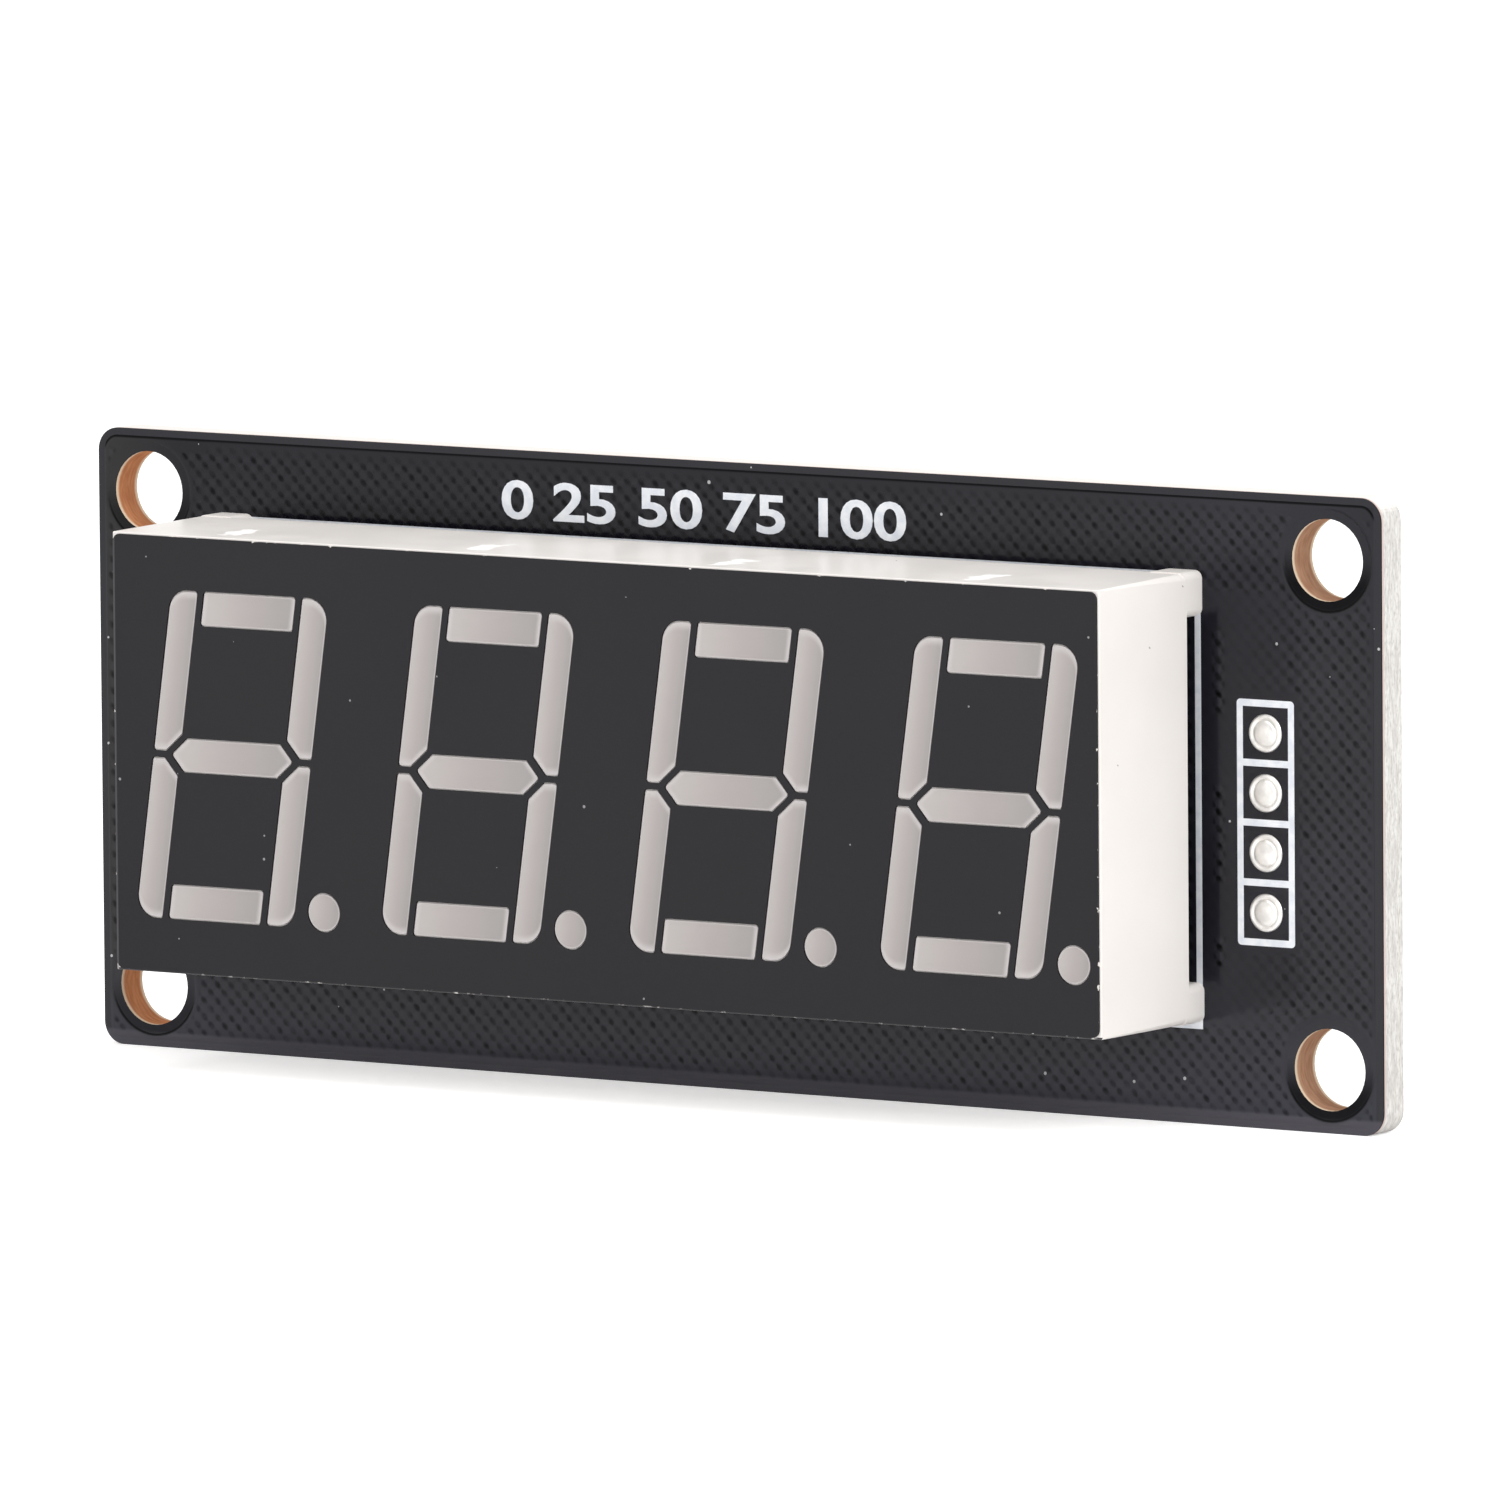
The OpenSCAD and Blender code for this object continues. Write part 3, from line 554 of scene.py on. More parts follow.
def hole_distance(x, z):
    """Distance from the middle of the nearest screw hole."""
    return np.hypot(x[..., None] - HOLES[:, 0], z[..., None] - HOLES[:, 1]).min(axis=-1)


def dimple_depth(x, z):
    """Pyramids on a staggered lattice: 1 on its points, 0 from a quarter of the pitch on."""
    u, v = (x - LATTICE_X) / PITCH, (z - LATTICE_Z) / PITCH
    first = np.abs(u - np.round(u)) + np.abs(v - np.round(v))
    second = np.abs(u - 0.5 - np.round(u - 0.5)) + np.abs(v - 0.5 - np.round(v - 0.5))
    return np.clip(1 - 4 * np.minimum(first, second), 0, 1)


def shadow_edge_column(x, z):
    """1 in one column of dimples at the edge of the display's shadow, in the runs where their painted shade
    stays strong.
    """
    runs = [(z > low) & (z < high) for low, high in COLUMN_RUNS]
    return (np.abs(x - COLUMN_X) < COLUMN_HALF) & np.any(runs, axis=0)


def dimpled(x, z, keep_off, beside):
    """1 where there are dimples, 0 near outline, holes and parts, and faint beside the display, where their
    painted shade fades but for one column.
    """
    from_side = HALF_W - np.abs(x) - CLEAR_SIDE
    from_edge = np.where(z > 0, HALF_H - z - CLEAR_TOP, HALF_H + z - CLEAR_FOOT)
    there = np.clip(from_side / CLEAR_SOFT, 0, 1) * np.clip(from_edge / CLEAR_SOFT, 0, 1)
    there = there * np.clip((hole_distance(x, z) - RING_OUT) / RING_SOFT, 0, 1)
    for box in keep_off:
        there = there * (box_inset(x, z, *box) < -0.1)
    if beside:
        fade = np.clip((x - BESIDE[0]) / (BESIDE[1] - BESIDE[0]), 0, 1)
        near = (x > BESIDE[0] - BESIDE_LAP) & (np.abs(z) < BESIDE_H)
        left = np.maximum(0.1 + 0.9 * fade ** 2, COLUMN_SHADE * shadow_edge_column(x, z))
        there = there * np.where(near, left, 1.0)
    return there


def middles(grid):
    """Middle of every square of a grid."""
    return (grid[:-1, :-1] + grid[1:, 1:]) / 2


def grown_box(name, by):
    """A solid's box pushed out by the same amount on every side."""
    low, high = box_mm(name)
    return low - by, high + by


REAR_PARTS = [grown_box("header_strip", 0.7), grown_box("driver_leads", 0.5), grown_box("end_caps", 0.6)]
KEEP_OFF = {-1: [grown_box("header_strip", 0.4)], 1: REAR_PARTS}


def add_copper(name, points, faces, out):
    """A piece of the copper relief that stores on its points where the dimples are."""
    piece = add_piece(name, points, faces, RELIEF_FINISH)
    stored = piece.data.attributes.new("dimpled", "FLOAT", "POINT")
    stored.data.foreach_set("value", dimpled(points[:, 0], points[:, 2], KEEP_OFF[out], out < 0))
    return piece


print("kept clear of", len(KEEP_OFF[-1]), "part in front and", len(KEEP_OFF[1]), "behind")

# %% [markdown]
# The field is one large grid, a quarter of the pitch wide in each step. It leaves out the places
# that nobody can see, under the display in front and under the chip behind, and the four corners.

# %% Field of dimples
CORNER_SPAN, CORNER_LAP = 5.7, 0.3
FIELD_IN_X, FIELD_IN_Z = 0.1, 0.3
LEAST_STEP = 0.05
FIELD_SINK, CORNER_SINK = 0.8 * COPPER_T, 0.6 * COPPER_T


def grid_lines(half, origin):
    """Lines from one end to the other, a quarter of the pitch apart and in step with the dimples."""
    step = PITCH / 4
    first = np.ceil((LEAST_STEP - half - origin) / step)
    last = np.floor((half - LEAST_STEP - origin) / step)
    return np.concatenate([[-half], origin + step * np.arange(first, last + 1), [half]])


def copper_field(name, level, out, hidden):
    """The sheet's thickness less the dimples, away from the corners and the border."""
    lines_x = grid_lines(HALF_W - BORDER_OUT - FIELD_IN_X, LATTICE_X)
    lines_z = grid_lines(HALF_H - BORDER_OUT - FIELD_IN_Z, LATTICE_Z)
    x, z = np.meshgrid(lines_x, lines_z, indexing="ij")
    there = dimpled(x, z, KEEP_OFF[out], False) > 0.5
    height = COPPER_T - FIELD_SINK * dimple_depth(x, z) * there * rng.uniform(0.7, 1.0, x.shape)
    in_x = np.abs(middles(x)) < HALF_W - CORNER_SPAN + CORNER_LAP
    in_z = np.abs(middles(z)) < HALF_H - CORNER_SPAN + CORNER_LAP
    kept = (in_x | in_z) & (box_inset(middles(x), middles(z), *hidden) < 0)
    return add_copper(name, *closed_sheet(x, z, height, kept, level, out), out)


copper_field("front_copper_field", FRONT, -1, grown_box("display_housing", -1.6))
copper_field("rear_copper_field", REAR, 1, grown_box("driver_chip", -0.8))

# %% [markdown]
# Along the outline and round the screw holes the copper ends in a smooth border. Its height depends
# only on how far inside the copper's outline a place is. Fine grids give the four corners, where
# outline and hole meet, and four long strips with the same lip join them.

# %% Border of the copper
LIP_IN = np.array([-0.04, 0.0, 0.04, 0.1, 0.17, 0.62])
LIP_UP = np.array([-0.012, -0.002, 0.01, 0.027, 0.0358, 0.0358])
CORNER_START, CORNER_LINES = 0.22, 75
SIDE_DROP = 0.002


def copper_depth(x, z):
    """Distance inside the copper: from the rounded outline less the border, or from a hole's keep-out."""
    over_x = np.abs(x) - (HALF_W - BOARD_CORNER)
    over_z = np.abs(z) - (HALF_H - BOARD_CORNER)
    past = np.hypot(np.maximum(over_x, 0), np.maximum(over_z, 0)) + np.minimum(np.maximum(over_x, over_z), 0)
    return np.minimum(BOARD_CORNER - past - BORDER_OUT, hole_distance(x, z) - KEEP_OUT)


def corner_border(side_x, side_z, level, out):
    """A corner's square as a fine grid, kept where there is copper."""
    run = np.linspace(CORNER_START, CORNER_SPAN, CORNER_LINES)
    x, z = np.meshgrid(np.sort(side_x * (HALF_W - run)), np.sort(side_z * (HALF_H - run)), indexing="ij")
    there = dimpled(x, z, KEEP_OFF[out], False) > 0.5
    height = np.interp(copper_depth(x, z), LIP_IN, LIP_UP) - CORNER_SINK * dimple_depth(x, z) * there
    kept = copper_depth(middles(x), middles(z)) > LIP_IN[0]
    return closed_sheet(x, z, height, kept, level, out)


def strip_border(along_x, side, level, out):
    """A straight strip between two corners: the lip's profile along the edge, a hair lower at the sides."""
    half = (HALF_W if along_x else HALF_H) - CORNER_SPAN
    edge = (HALF_H if along_x else HALF_W) - BORDER_OUT
    lip = LIP_IN if along_x else LIP_IN[:-1]
    run = np.linspace(-half, half, 2)
    across = np.sort(side * (edge - lip))
    x, z = np.meshgrid(run, across, indexing="ij") if along_x else np.meshgrid(across, run, indexing="ij")
    inside = edge - np.abs(z if along_x else x)
    height = np.interp(inside, LIP_IN, LIP_UP) - (0.0 if along_x else SIDE_DROP)
    return closed_sheet(x, z, height, np.ones((x.shape[0] - 1, x.shape[1] - 1), bool), level, out)


def copper_border(name, level, out):
    """Four corners and four strips as one piece."""
    corners = [corner_border(sx, sz, level, out) for sx in (-1, 1) for sz in (-1, 1)]
    strips = [strip_border(along, side, level, out) for along in (True, False) for side in (-1, 1)]
    return add_copper(name, *joined(corners + strips), out)


copper_border("front_copper_border", FRONT, -1)
copper_border("rear_copper_border", REAR, 1)

# %% [markdown]
# White ink is screen printed on the lacquer: the header's cells, the display's outline, and a row
# of plain numerals above the display. Screen ink is matt, a little uneven in cover, and slightly blue.
# A text curve gives the numerals. It becomes a mesh before it gets its place.

# %% White print
def print_finish():
    """Matt white that thins in small patches, with a fine grain from the screen."""
    material, tree, shader, place = finish("white_print", Specular_IOR_Level=0.4)
    tone = uneven(tree, place, 0.5)
    colour = blend(tree, tone, seen(247, 250, 254), seen(230, 235, 243))
    wire(tree, shader, colour, span(tree, tone, 0.5, 0.68))
    wrinkle(tree, shader, place, 0.09, 0.006)
    return material


PRINT_FINISH = print_finish()
NUMERALS = "0 25 50 75 100"
NUMERAL_LEFT, NUMERAL_RIGHT, NUMERAL_FOOT, NUMERAL_H = -11.65, 9.05, 10.5, 1.72
NUMERAL_T, NUMERAL_SUNK = 0.053, 0.01


def printed_numerals():
    """A row of numerals as a closed mesh, laid on the front and stretched to its width and height."""
    letters = bpy.data.curves.new("numerals", "FONT")
    letters.body = NUMERALS
    letters.extrude = 0.03
    letters.offset = 0.02
    letters.resolution_u = 5
    drawn = bpy.data.objects.new("numerals", letters)
    bpy.context.scene.collection.objects.link(drawn)
    solid = bpy.data.meshes.new_from_object(drawn.evaluated_get(bpy.context.evaluated_depsgraph_get()))
    bpy.data.objects.remove(drawn)
    flat = read(solid.vertices, "co", 3)
    low, high = flat.min(axis=0), flat.max(axis=0)
    share = (flat - low) / (high - low)
    x = NUMERAL_LEFT + share[:, 0] * (NUMERAL_RIGHT - NUMERAL_LEFT)
    y = FRONT + NUMERAL_SUNK - share[:, 2] * NUMERAL_T
    z = NUMERAL_FOOT + share[:, 1] * NUMERAL_H
    points, first = np.unique(np.round(np.stack([x, y, z], -1), 5), axis=0, return_inverse=True)
    rings = first.ravel()[read(solid.loops, "vertex_index", kind=int)]
    ends = np.cumsum(read(solid.polygons, "loop_total", kind=int))
    faces = [ring[None] for ring in np.split(rings, ends[:-1])]
    return add_piece("printed_numerals", points, faces, PRINT_FINISH, smooth=False)


printed_numerals()

# %% [markdown]
# The display's housing is a hard white moulding with a polish that shows soft reflections, most of
# all along its top. A little waviness and a few matt scars keep it from looking like glass.

# %% White moulded plastic
GATE_PITCH, GATE_X, GATE_Y = 12.7, -21.2, -7.6
GATE_HALF_X, GATE_HALF_Y = 0.55, 1.2
GATE_RAGGED = 1.6, 2.4, 0.0
TOP = float(box_mm("display_housing")[1][2])
FACE_Y = float(box_mm("display_housing")[0][1])
FACE_LEFT, FACE_FOOT, FACE_HEAD = float(face_low[0]), float(face_low[2]), float(face_high[2])
RIM_LAP = 0.02


def gate_scars(tree, place):
    """1 in a ragged spot on the top over each digit, where the plastic entered the mould."""
    ragged = add(tree, "ShaderNodeTexNoise", {"Vector": place, "Scale": 1.1, "Detail": 4.0}).outputs[1]
    moves = {0: ragged, 1: GATE_RAGGED, 2: place}
    pushed = add(tree, "ShaderNodeVectorMath", moves, operation="MULTIPLY_ADD").outputs[0]
    x, y, z = axes(tree, pushed)
    off_x = less(tree, x, GATE_X + GATE_RAGGED[0] / 2)
    off_x = maths(tree, "WRAP", off_x, GATE_PITCH / 2, -GATE_PITCH / 2)
    off_y = less(tree, y, GATE_Y + GATE_RAGGED[1] / 2)
    inside_x = maths(tree, "DIVIDE", maths(tree, "ABSOLUTE", off_x), GATE_HALF_X)
    inside_y = maths(tree, "DIVIDE", maths(tree, "ABSOLUTE", off_y), GATE_HALF_Y)
    spot = ramp(tree, maths(tree, "MAXIMUM", inside_x, inside_y), 1.0, 0.8)
    on_top = maths(tree, "GREATER_THAN", z, TOP - 0.4)
    return times(tree, spot, on_top)


def inked_rim(tree, place):
    """Where face ink crept over the front rim, left and below, in long runs; and its colour."""
    x, y, z = axes(tree, place)
    ahead = ramp(tree, y, FACE_Y + 0.09, FACE_Y + 0.05)
    left = maths(tree, "LESS_THAN", x, FACE_LEFT + RIM_LAP)
    below = maths(tree, "LESS_THAN", z, FACE_FOOT + RIM_LAP)
    side = times(tree, left, ramp(tree, z, FACE_HEAD - 0.3, FACE_HEAD - 1.6))
    fine = add(tree, "ShaderNodeTexNoise", {"Vector": place, "Scale": 2.2, "Detail": 4.0}).outputs[0]
    runs = times(tree, ahead, ramp(tree, fine, 0.7, 0.58))
    ink = blend(tree, left, seen(48, 46, 49), seen(176, 171, 170))
    return times(tree, runs, maths(tree, "MAXIMUM", side, below)), ink


def housing_finish():
    """Warm white with slow patches, a wavy polish and matt scars on its top."""
    material, tree, shader, place = finish("white_moulding", Specular_IOR_Level=0.3)
    tone = uneven(tree, place, 8.0)
    colour = blend(tree, tone, seen(245, 240, 236), seen(241, 236, 231))
    scar = gate_scars(tree, place)
    colour = blend(tree, scar, colour, seen(255, 254, 252))
    inked, ink = inked_rim(tree, place)
    colour = blend(tree, inked, colour, ink)
    dust = placed(tree, DUST, place, "Mask", Spacing=1.8, Radius=0.025, Share=0.06)
    colour = blend(tree, dust, colour, seen(176, 170, 166))
    rough = uneven(tree, place, 3.0)
    polish = maths(tree, "ADD", span(tree, rough, 0.28, 0.35), times(tree, scar, 0.3))
    wire(tree, shader, colour, polish)
    wrinkle(tree, shader, place, 3.0, 0.02)
    return material


HOUSING_FINISH = housing_finish()
print(HOUSING_FINISH.name)

# %% [markdown]
# The face is black ink on the moulding. Handling has worn it along its outer edges, where ragged
# white shows through, and left fine scratches and dust.

# %% Black face ink
FACE_MID = ((face_low + face_high) / 2).tolist()
FACE_HALF = ((face_high - face_low) / 2).tolist()
LIT_RIM = 0.11, 0.07


def face_finish():
    """Matt charcoal with a ragged worn rim, dust and short scratches."""
    material, tree, shader, place = finish("black_face_ink", Specular_IOR_Level=0.28)
    tone = uneven(tree, place, 7.0)
    colour = blend(tree, tone, seen(22, 21, 25), seen(28, 27, 31))
    drawn = stretched(tree, place, 0.3, 0.0, 1.0)
    scratch = placed(tree, DUST, drawn, "Mask", Spacing=1.6, Radius=0.015, Share=0.02)
    dust = placed(tree, DUST, place, "Mask", Spacing=1.5, Radius=0.035, Share=0.045)
    colour = blend(tree, maths(tree, "MAXIMUM", scratch, dust), colour, seen(150, 148, 150))
    rim = placed(tree, WORN, place, "Mask", Middle_X=FACE_MID[0], Middle_Z=FACE_MID[2],
                 Half_W=FACE_HALF[0], Half_H=FACE_HALF[2], Width=0.06)
    inside = less(tree, axes(tree, place)[0], FACE_LEFT)
    lit_edge = times(tree, ramp(tree, inside, *LIT_RIM), span(tree, tone, 0.7, 1.0))
    colour = blend(tree, lit_edge, colour, seen(78, 76, 79))
    colour = blend(tree, rim, colour, seen(226, 221, 216))
    wire(tree, shader, colour, span(tree, tone, 0.5, 0.62))
    wrinkle(tree, shader, place, 0.12, 0.005)
    return material


FACE_FINISH = face_finish()
print(FACE_FINISH.name)

# %% [markdown]
# Each segment is a bar of milky resin cast into its light well. Seen through the resin, the well's
# left wall is bright and its right wall lies in shade, so every bar fades from left to right, and a
# pale line runs round its rim. The solid has no such grading to offer, so a thin skin lies over each bar:
# rings of points drawn in from the bar's own outline to its middle, raised a little like cured resin.
# Each point stores how far in it lies and how far across, and the finish grades its colour by both.

# %% Milky segment resin
def resin_tone(tree, place):
    """Slow clouds with faint streaks along X, from 0 to 1."""
    cloud = uneven(tree, stretched(tree, place, 1.0, 1.0, 0.45), 1.5)
    streak = uneven(tree, stretched(tree, place, 0.2, 1.0, 1.0), 0.45)
    return maths(tree, "MULTIPLY_ADD", streak, 0.25, cloud)


def segment_finish():
    """Plain milky resin for the sides of the bars."""
    material, tree, shader, place = finish("segment_resin", Specular_IOR_Level=0.5)
    tone = resin_tone(tree, place)
    colour = blend(tree, tone, seen(186, 179, 177), seen(168, 161, 159))
    wire(tree, shader, colour, span(tree, tone, 0.25, 0.34))
    return material


def skin_finish():
    """Milky resin, paler to the left and along the rim, with faint clouds."""
    material, tree, shader, place = finish("segment_resin_skin", Specular_IOR_Level=0.5)
    depth = add(tree, "ShaderNodeAttribute", attribute_name="depth_in").outputs["Fac"]
    across = add(tree, "ShaderNodeAttribute", attribute_name="across").outputs["Fac"]
    tone = resin_tone(tree, place)
    drift = maths(tree, "MULTIPLY_ADD", tone, 0.04, across)
    left_half = blend(tree, ramp(tree, drift, 0.0, 0.62), seen(193, 187, 184), seen(179, 170, 168))
    colour = blend(tree, ramp(tree, drift, 0.45, 1.1), left_half, seen(163, 159, 157))
    colour = blend(tree, ramp(tree, depth, 0.12, 0.0), colour, seen(207, 201, 200))
    wire(tree, shader, colour, span(tree, tone, 0.3, 0.33))
    wrinkle(tree, shader, place, 0.9, 0.004)
    return material


SEGMENT_FINISH = segment_finish()
SKIN_FINISH = skin_finish()
RING_SHARES = np.array([1.0, 0.95, 0.88, 0.74, 0.5, 0.25, 0.02])
CROWN, SKIN_OFF = 0.02, 0.001
LEAN = math.tan(math.radians(8.1))


def segment_skin(name):
    """Points P(u, v) = middle + share(v) * (outline(u) - middle), raised by CROWN * (1 - share squared)."""
    points = read(nodes[name].data.vertices, "co", 3) / MM
    face_y = points[:, 1].min()
    outline = np.unique(np.round(points[points[:, 1] < face_y + SKIN_OFF], 4), axis=0)
    middle = (outline.min(axis=0) + outline.max(axis=0)) / 2
    around = np.arctan2(outline[:, 2] - middle[2], outline[:, 0] - middle[0])
    outline = outline[np.argsort(around)]
    grid = middle + RING_SHARES[:, None, None] * (outline - middle)
    grid[..., 1] = face_y - SKIN_OFF - CROWN * (1 - RING_SHARES[:, None] ** 2)
    upright = grid[..., 0] - LEAN * grid[..., 2]
    across = (upright - upright.min()) / (upright.max() - upright.min())
    return grid.reshape(-1, 3), np.repeat(1 - RING_SHARES, len(outline)), across.ravel()


def skin_faces(points):
    """Rings of squares from the outline in, a cap over the last ring and a flat back over the first."""
    rings = len(RING_SHARES)
    count = len(points) // rings
    u, v = np.meshgrid(np.arange(count), np.arange(rings - 1))
    a, b = v * count + u, v * count + (u + 1) % count
    squares = np.stack([a, b, b + count, a + count], -1).reshape(-1, 4)
    return [squares, (rings - 1) * count + np.arange(count)[None], np.arange(count)[None, ::-1]]


def digit_skins(digit):
    """The skins of one digit's eight segments as one piece with the two stored values."""
    skins = [segment_skin(f"digit_{digit}_segment_{name}") for name in "a b c d e f g point".split()]
    points, faces = joined([(skin[0], skin_faces(skin[0])) for skin in skins])
    piece = add_piece(f"digit_{digit}_skins", points, faces, SKIN_FINISH)
    for place, label in ((1, "depth_in"), (2, "across")):
        stored = piece.data.attributes.new(label, "FLOAT", "POINT")
        stored.data.foreach_set("value", np.concatenate([skin[place] for skin in skins]))
    return piece


for digit in (1, 2, 3, 4):
    digit_skins(digit)

# %% [markdown]
# Solder is bright and smooth where it flowed and duller where flux lay on it. Pins and leads are
# tinned: the same grey metal with a finer, drawn surface. One helper makes all the metals.

# %% Metals
def metal_finish(name, bright, dull, smooth, rough, size, depth):
    """Metal between a bright and a dull colour in patches, rougher where it is dull."""
    material, tree, shader, place = finish(name, Metallic=1.0)
    tone = uneven(tree, place, size)
    colour = blend(tree, tone, seen(*bright), seen(*dull))
    wire(tree, shader, colour, span(tree, tone, smooth, rough))
    wrinkle(tree, shader, place, size * 0.4, depth)
    return material


SOLDER_FINISH = metal_finish("solder", (244, 242, 239), (222, 220, 217), 0.3, 0.48, 0.6, 0.008)
TIN_FINISH = metal_finish("tinned_wire", (214, 214, 212), (180, 180, 178), 0.28, 0.45, 0.5, 0.004)
LEAD_FINISH = metal_finish("tinned_leads", (206, 207, 208), (172, 173, 175), 0.3, 0.45, 0.35, 0.004)
GILT_FINISH = metal_finish("gilt_pins", (226, 196, 120), (198, 166, 96), 0.18, 0.34, 0.8, 0.003)
print("metals made")

# %% [markdown]
# The rest are small parts: black plastics with the grain of a blasted mould, glazed ceramics, the
# display's own inner board, its dice and the resin poured behind them. They share one helper too.

# %% Plastics, ceramics and resins of the small parts
BLACKS = (30, 30, 32), (38, 38, 40)
CHARCOALS = (34, 34, 36), (43, 43, 45)
WHITES = (232, 230, 224), (214, 211, 204)
TANS = (172, 138, 100), (150, 118, 84)
GREENS = (70, 112, 62), (56, 94, 50)
CREAMS = (222, 215, 203), (205, 197, 184)
AMBERS = (206, 176, 84), (180, 150, 66)


def mottled_finish(name, tones, size, smooth, rough, grain, depth, level=0.5):
    """Two close colours in patches over a fine grain."""
    material, tree, shader, place = finish(name, Specular_IOR_Level=level)
    tone = uneven(tree, place, size)
    dust = placed(tree, DUST, place, "Mask", Spacing=1.2, Radius=0.03, Share=0.15)
    colour = blend(tree, tone, seen(*tones[0]), seen(*tones[1]))
    colour = blend(tree, times(tree, dust, 0.5), colour, seen(160, 158, 156))
    wire(tree, shader, colour, span(tree, tone, smooth, rough))
    wrinkle(tree, shader, place, grain, depth)
    return material


STRIP_FINISH = mottled_finish("header_plastic", BLACKS, 1.5, 0.42, 0.55, 0.1, 0.006, 0.4)
CHIP_FINISH = mottled_finish("chip_plastic", CHARCOALS, 2.0, 0.6, 0.75, 0.07, 0.01, 0.4)
RESISTOR_FINISH = mottled_finish("resistor_ceramic", WHITES, 0.4, 0.35, 0.5, 0.06, 0.004)
CAPACITOR_FINISH = mottled_finish("capacitor_ceramic", TANS, 0.4, 0.3, 0.45, 0.06, 0.004)
LED_BOARD_FINISH = mottled_finish("led_board_laminate", GREENS, 1.5, 0.4, 0.55, 0.2, 0.006)
POUR_FINISH = mottled_finish("pour_resin", CREAMS, 2.0, 0.25, 0.4, 0.9, 0.02)
DIE_FINISH = mottled_finish("led_die", AMBERS, 0.15, 0.2, 0.35, 0.05, 0.002)
print("small finishes made")

# %% [markdown]
# Every solid now gets its finish by name. Assigning to the object's own slot leaves its mesh alone.

# %% Dress the solids
FINISHES = {
    "circuit_board": BOARD_FINISH, "front_print": PRINT_FINISH, "rear_print": PRINT_FINISH,
    "display_housing": HOUSING_FINISH, "face_film": FACE_FINISH, "led_board": LED_BOARD_FINISH,
    "back_resin": POUR_FINISH, "upper_display_pins": TIN_FINISH, "lower_display_pins": TIN_FINISH,
    "display_solder": SOLDER_FINISH, "header_strip": STRIP_FINISH, "header_solder": SOLDER_FINISH,
    "driver_chip": CHIP_FINISH, "driver_leads": LEAD_FINISH, "resistors": RESISTOR_FINISH,
    "capacitors": CAPACITOR_FINISH, "end_caps": LEAD_FINISH, "chip_solder": SOLDER_FINISH,
}
KINDS = {"segment": SEGMENT_FINISH, "dice": DIE_FINISH, "header_pin": GILT_FINISH}


def finish_of(name):
    """The finish of a solid: by the kind that its name holds, or else by its name."""
    for kind, material in KINDS.items():
        if kind in name:
            return material
    return FINISHES[name]


for name, solid in nodes.items():
    for slot in solid.material_slots:
        slot.material = finish_of(name)
print(len(nodes), "solids dressed")

# %% [markdown]
# A pale floor at the board's lower edge catches a soft shadow. The world lights the scene evenly,
# and what the camera, gloss and glass see of it is plain white, so the background is white
# without any more light on the object.

# %% Floor and world
scene = bpy.context.scene


def seen_directly(tree):
    """1 for camera, gloss and glass rays, 0 for the light that falls on things."""
    ray = add(tree, "ShaderNodeLightPath").outputs
    direct = maths(tree, "ADD", ray["Is Camera Ray"], ray["Is Glossy Ray"])
    return add(tree, "ShaderNodeMath", {0: direct, 1: ray["Is Transmission Ray"]},
               operation="ADD", use_clamp=True).outputs[0]


def studio_world(light):
    """A world of even light that is seen as white."""
    world = bpy.data.worlds.new("studio")
    world.use_nodes = True
    tree = world.node_tree
    tree.nodes.clear()
    lit = add(tree, "ShaderNodeBackground", {"Color": (1, 1, 1, 1), "Strength": light})
    white = add(tree, "ShaderNodeBackground", {"Color": (1, 1, 1, 1), "Strength": 1.0})
    mixed = add(tree, "ShaderNodeMixShader", {0: seen_directly(tree), 1: lit.outputs[0], 2: white.outputs[0]})
    add(tree, "ShaderNodeOutputWorld", {0: mixed.outputs[0]})
    return world


def pale_floor():
    """A wide white plane under the object, with a little glow for direct rays so that only shadow shows."""
    mesh = bpy.data.meshes.new("floor")
    reach = 4.0
    level = cad_box[0][2]
    corners = [(sx * reach, sz * reach, level) for sx, sz in ((-1, -1), (1, -1), (1, 1), (-1, 1))]
    mesh.from_pydata(corners, [], [(0, 1, 2, 3)])
    floor = bpy.data.objects.new("floor", mesh)
    scene.collection.objects.link(floor)
    material, tree, shader, place = finish("pale_floor", Specular_IOR_Level=0.1, Roughness=0.9)
    tone = uneven(tree, place, 60.0)
    wire(tree, shader, blend(tree, tone, seen(244, 244, 244), seen(248, 248, 248)))
    glow = times(tree, seen_directly(tree), 0.45)
    shader.inputs["Emission Color"].default_value = (1, 1, 1, 1)
    tree.links.new(glow, shader.inputs["Emission Strength"])
    mesh.materials.append(material)
    return floor


scene.world = studio_world(0.68)
pale_floor()
print("floor at", round(cad_box[0][2] / MM, 2))

# %% [markdown]
# Three large soft boxes model the studio: a key from the right that brightens the display's side,
# a fill from the left in front whose gloss lies on the board, and one from above.
# Their power is low, so that a colour comes out about as it is written.

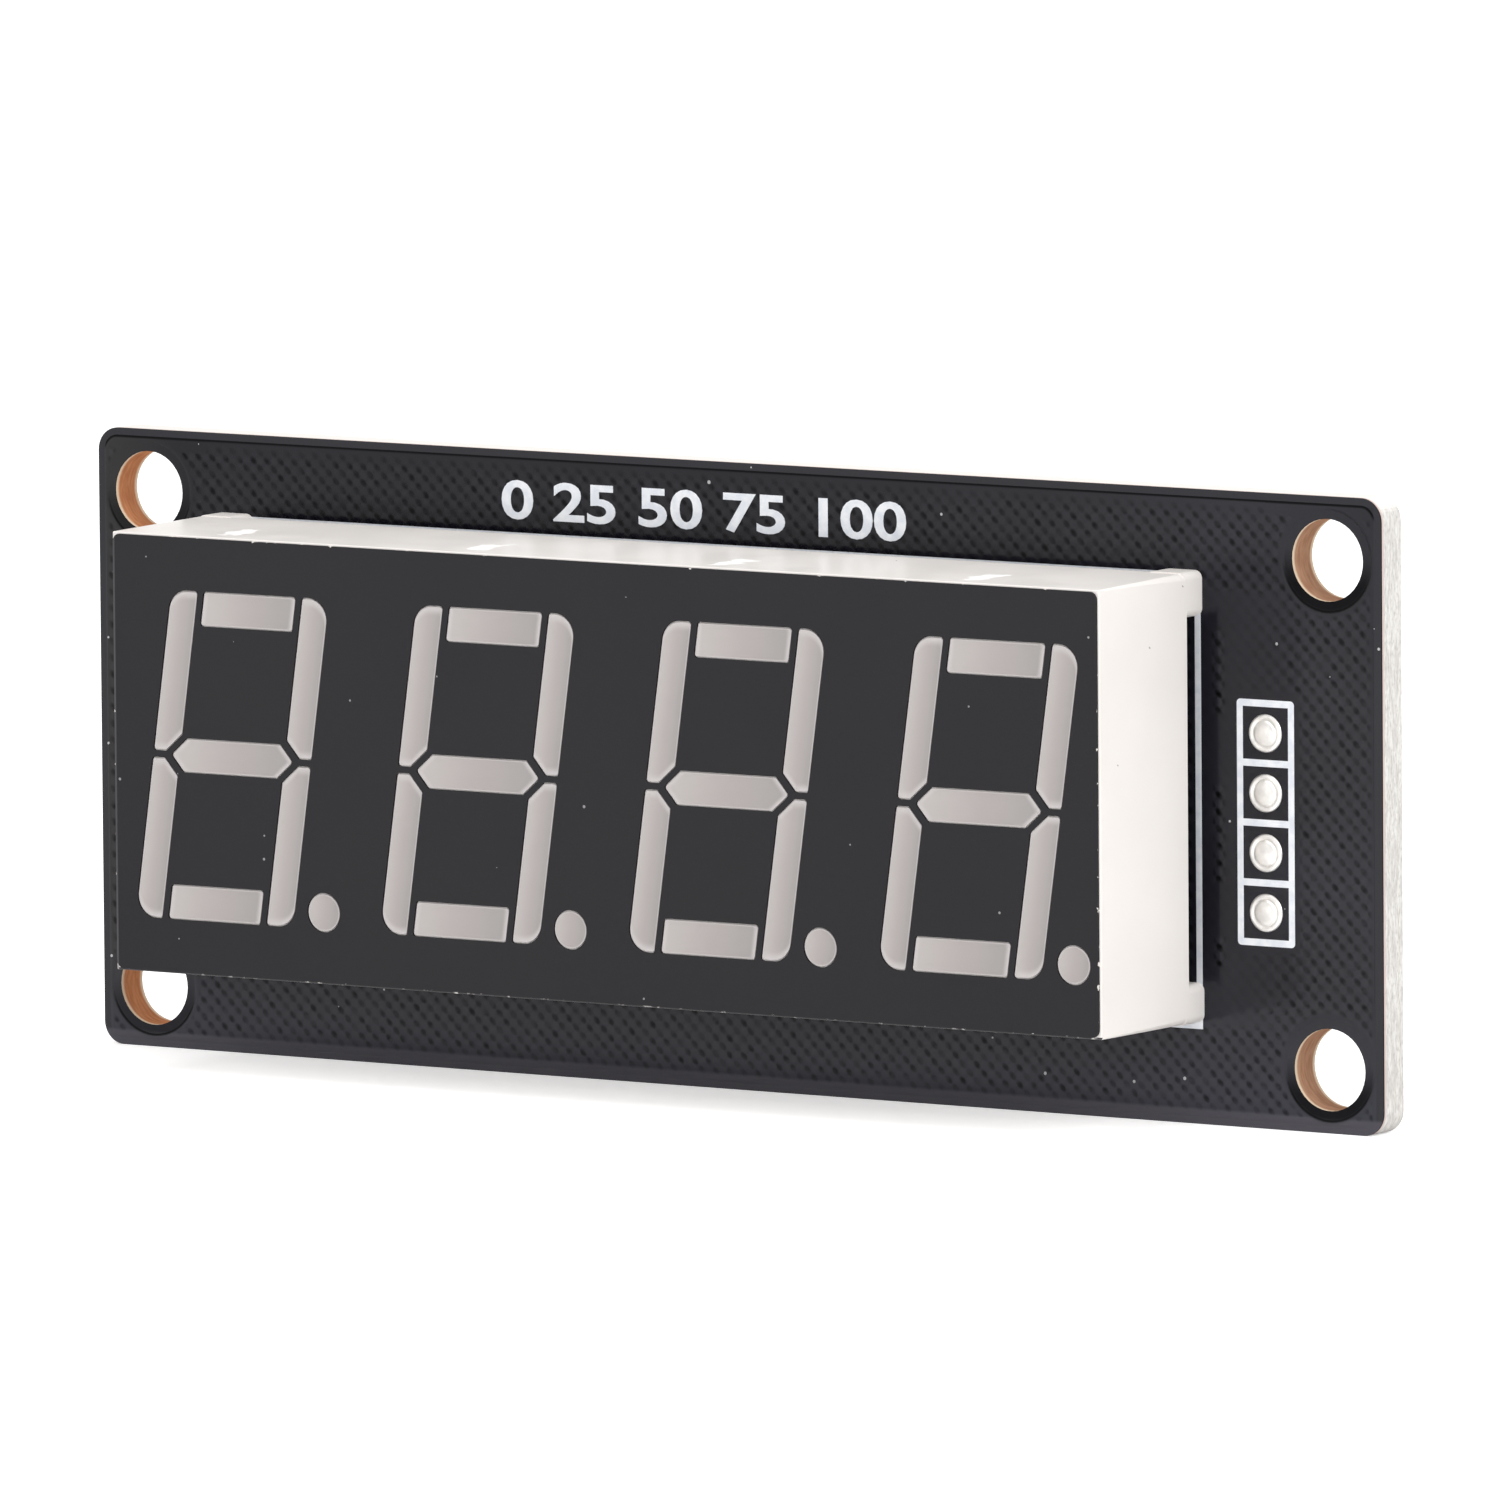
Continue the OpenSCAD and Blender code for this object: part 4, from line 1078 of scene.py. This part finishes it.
# %% Soft boxes
def toward(azimuth, elevation):
    """Direction from the object: azimuth 0 is in front of it, 90 on its right."""
    a, e = math.radians(azimuth), math.radians(elevation)
    return Vector((math.sin(a) * math.cos(e), -math.cos(a) * math.cos(e), math.sin(e)))


def soft_box(name, azimuth, elevation, distance, size, power):
    """A square lamp that faces the object's middle."""
    lamp = bpy.data.lights.new(name, "AREA")
    lamp.shape = "SQUARE"
    lamp.size = size
    lamp.energy = power
    box = bpy.data.objects.new(name, lamp)
    box.location = toward(azimuth, elevation) * distance
    box.rotation_euler = toward(azimuth, elevation).to_track_quat("Z", "Y").to_euler()
    scene.collection.objects.link(box)
    print(name, "at", [round(v, 2) for v in box.location])


soft_box("key", 78, 32, 0.9, 0.6, 3.5)
soft_box("fill", -34, 8, 0.9, 0.8, 1.0)
soft_box("overhead", 10, 80, 0.8, 0.6, 2.0)

# %% [markdown]
# The camera stands far off with a long lens, to the right of the display and a little above it,
# which keeps the board's edges almost parallel. It is tipped by half a degree as well.

# %% Camera
AZIMUTH, ELEVATION, ROLL = 33.250, 6.373, -0.451
DISTANCE, LENS = 1.0167, 569.51
TARGET = Vector((-0.0988, 0.0637, 0.9622)) * MM


def long_lens():
    """A camera whose axes are built from azimuth, elevation and roll."""
    lens = bpy.data.cameras.new("camera")
    lens.sensor_width = 36
    lens.lens = LENS
    lens.clip_start = 0.01
    lens.clip_end = 100
    camera = bpy.data.objects.new("camera", lens)
    back = toward(AZIMUTH, ELEVATION)
    level = Vector((math.cos(math.radians(AZIMUTH)), math.sin(math.radians(AZIMUTH)), 0))
    upright = back.cross(level)
    right = level * math.cos(math.radians(ROLL)) + upright * math.sin(math.radians(ROLL))
    turn = Matrix((right, back.cross(right), back)).transposed()
    camera.matrix_world = Matrix.Translation(TARGET + back * DISTANCE) @ turn.to_4x4()
    scene.collection.objects.link(camera)
    return camera


scene.camera = long_lens()
scene.view_settings.view_transform = "Standard"
print("camera at", [round(v, 3) for v in scene.camera.matrix_world.translation])
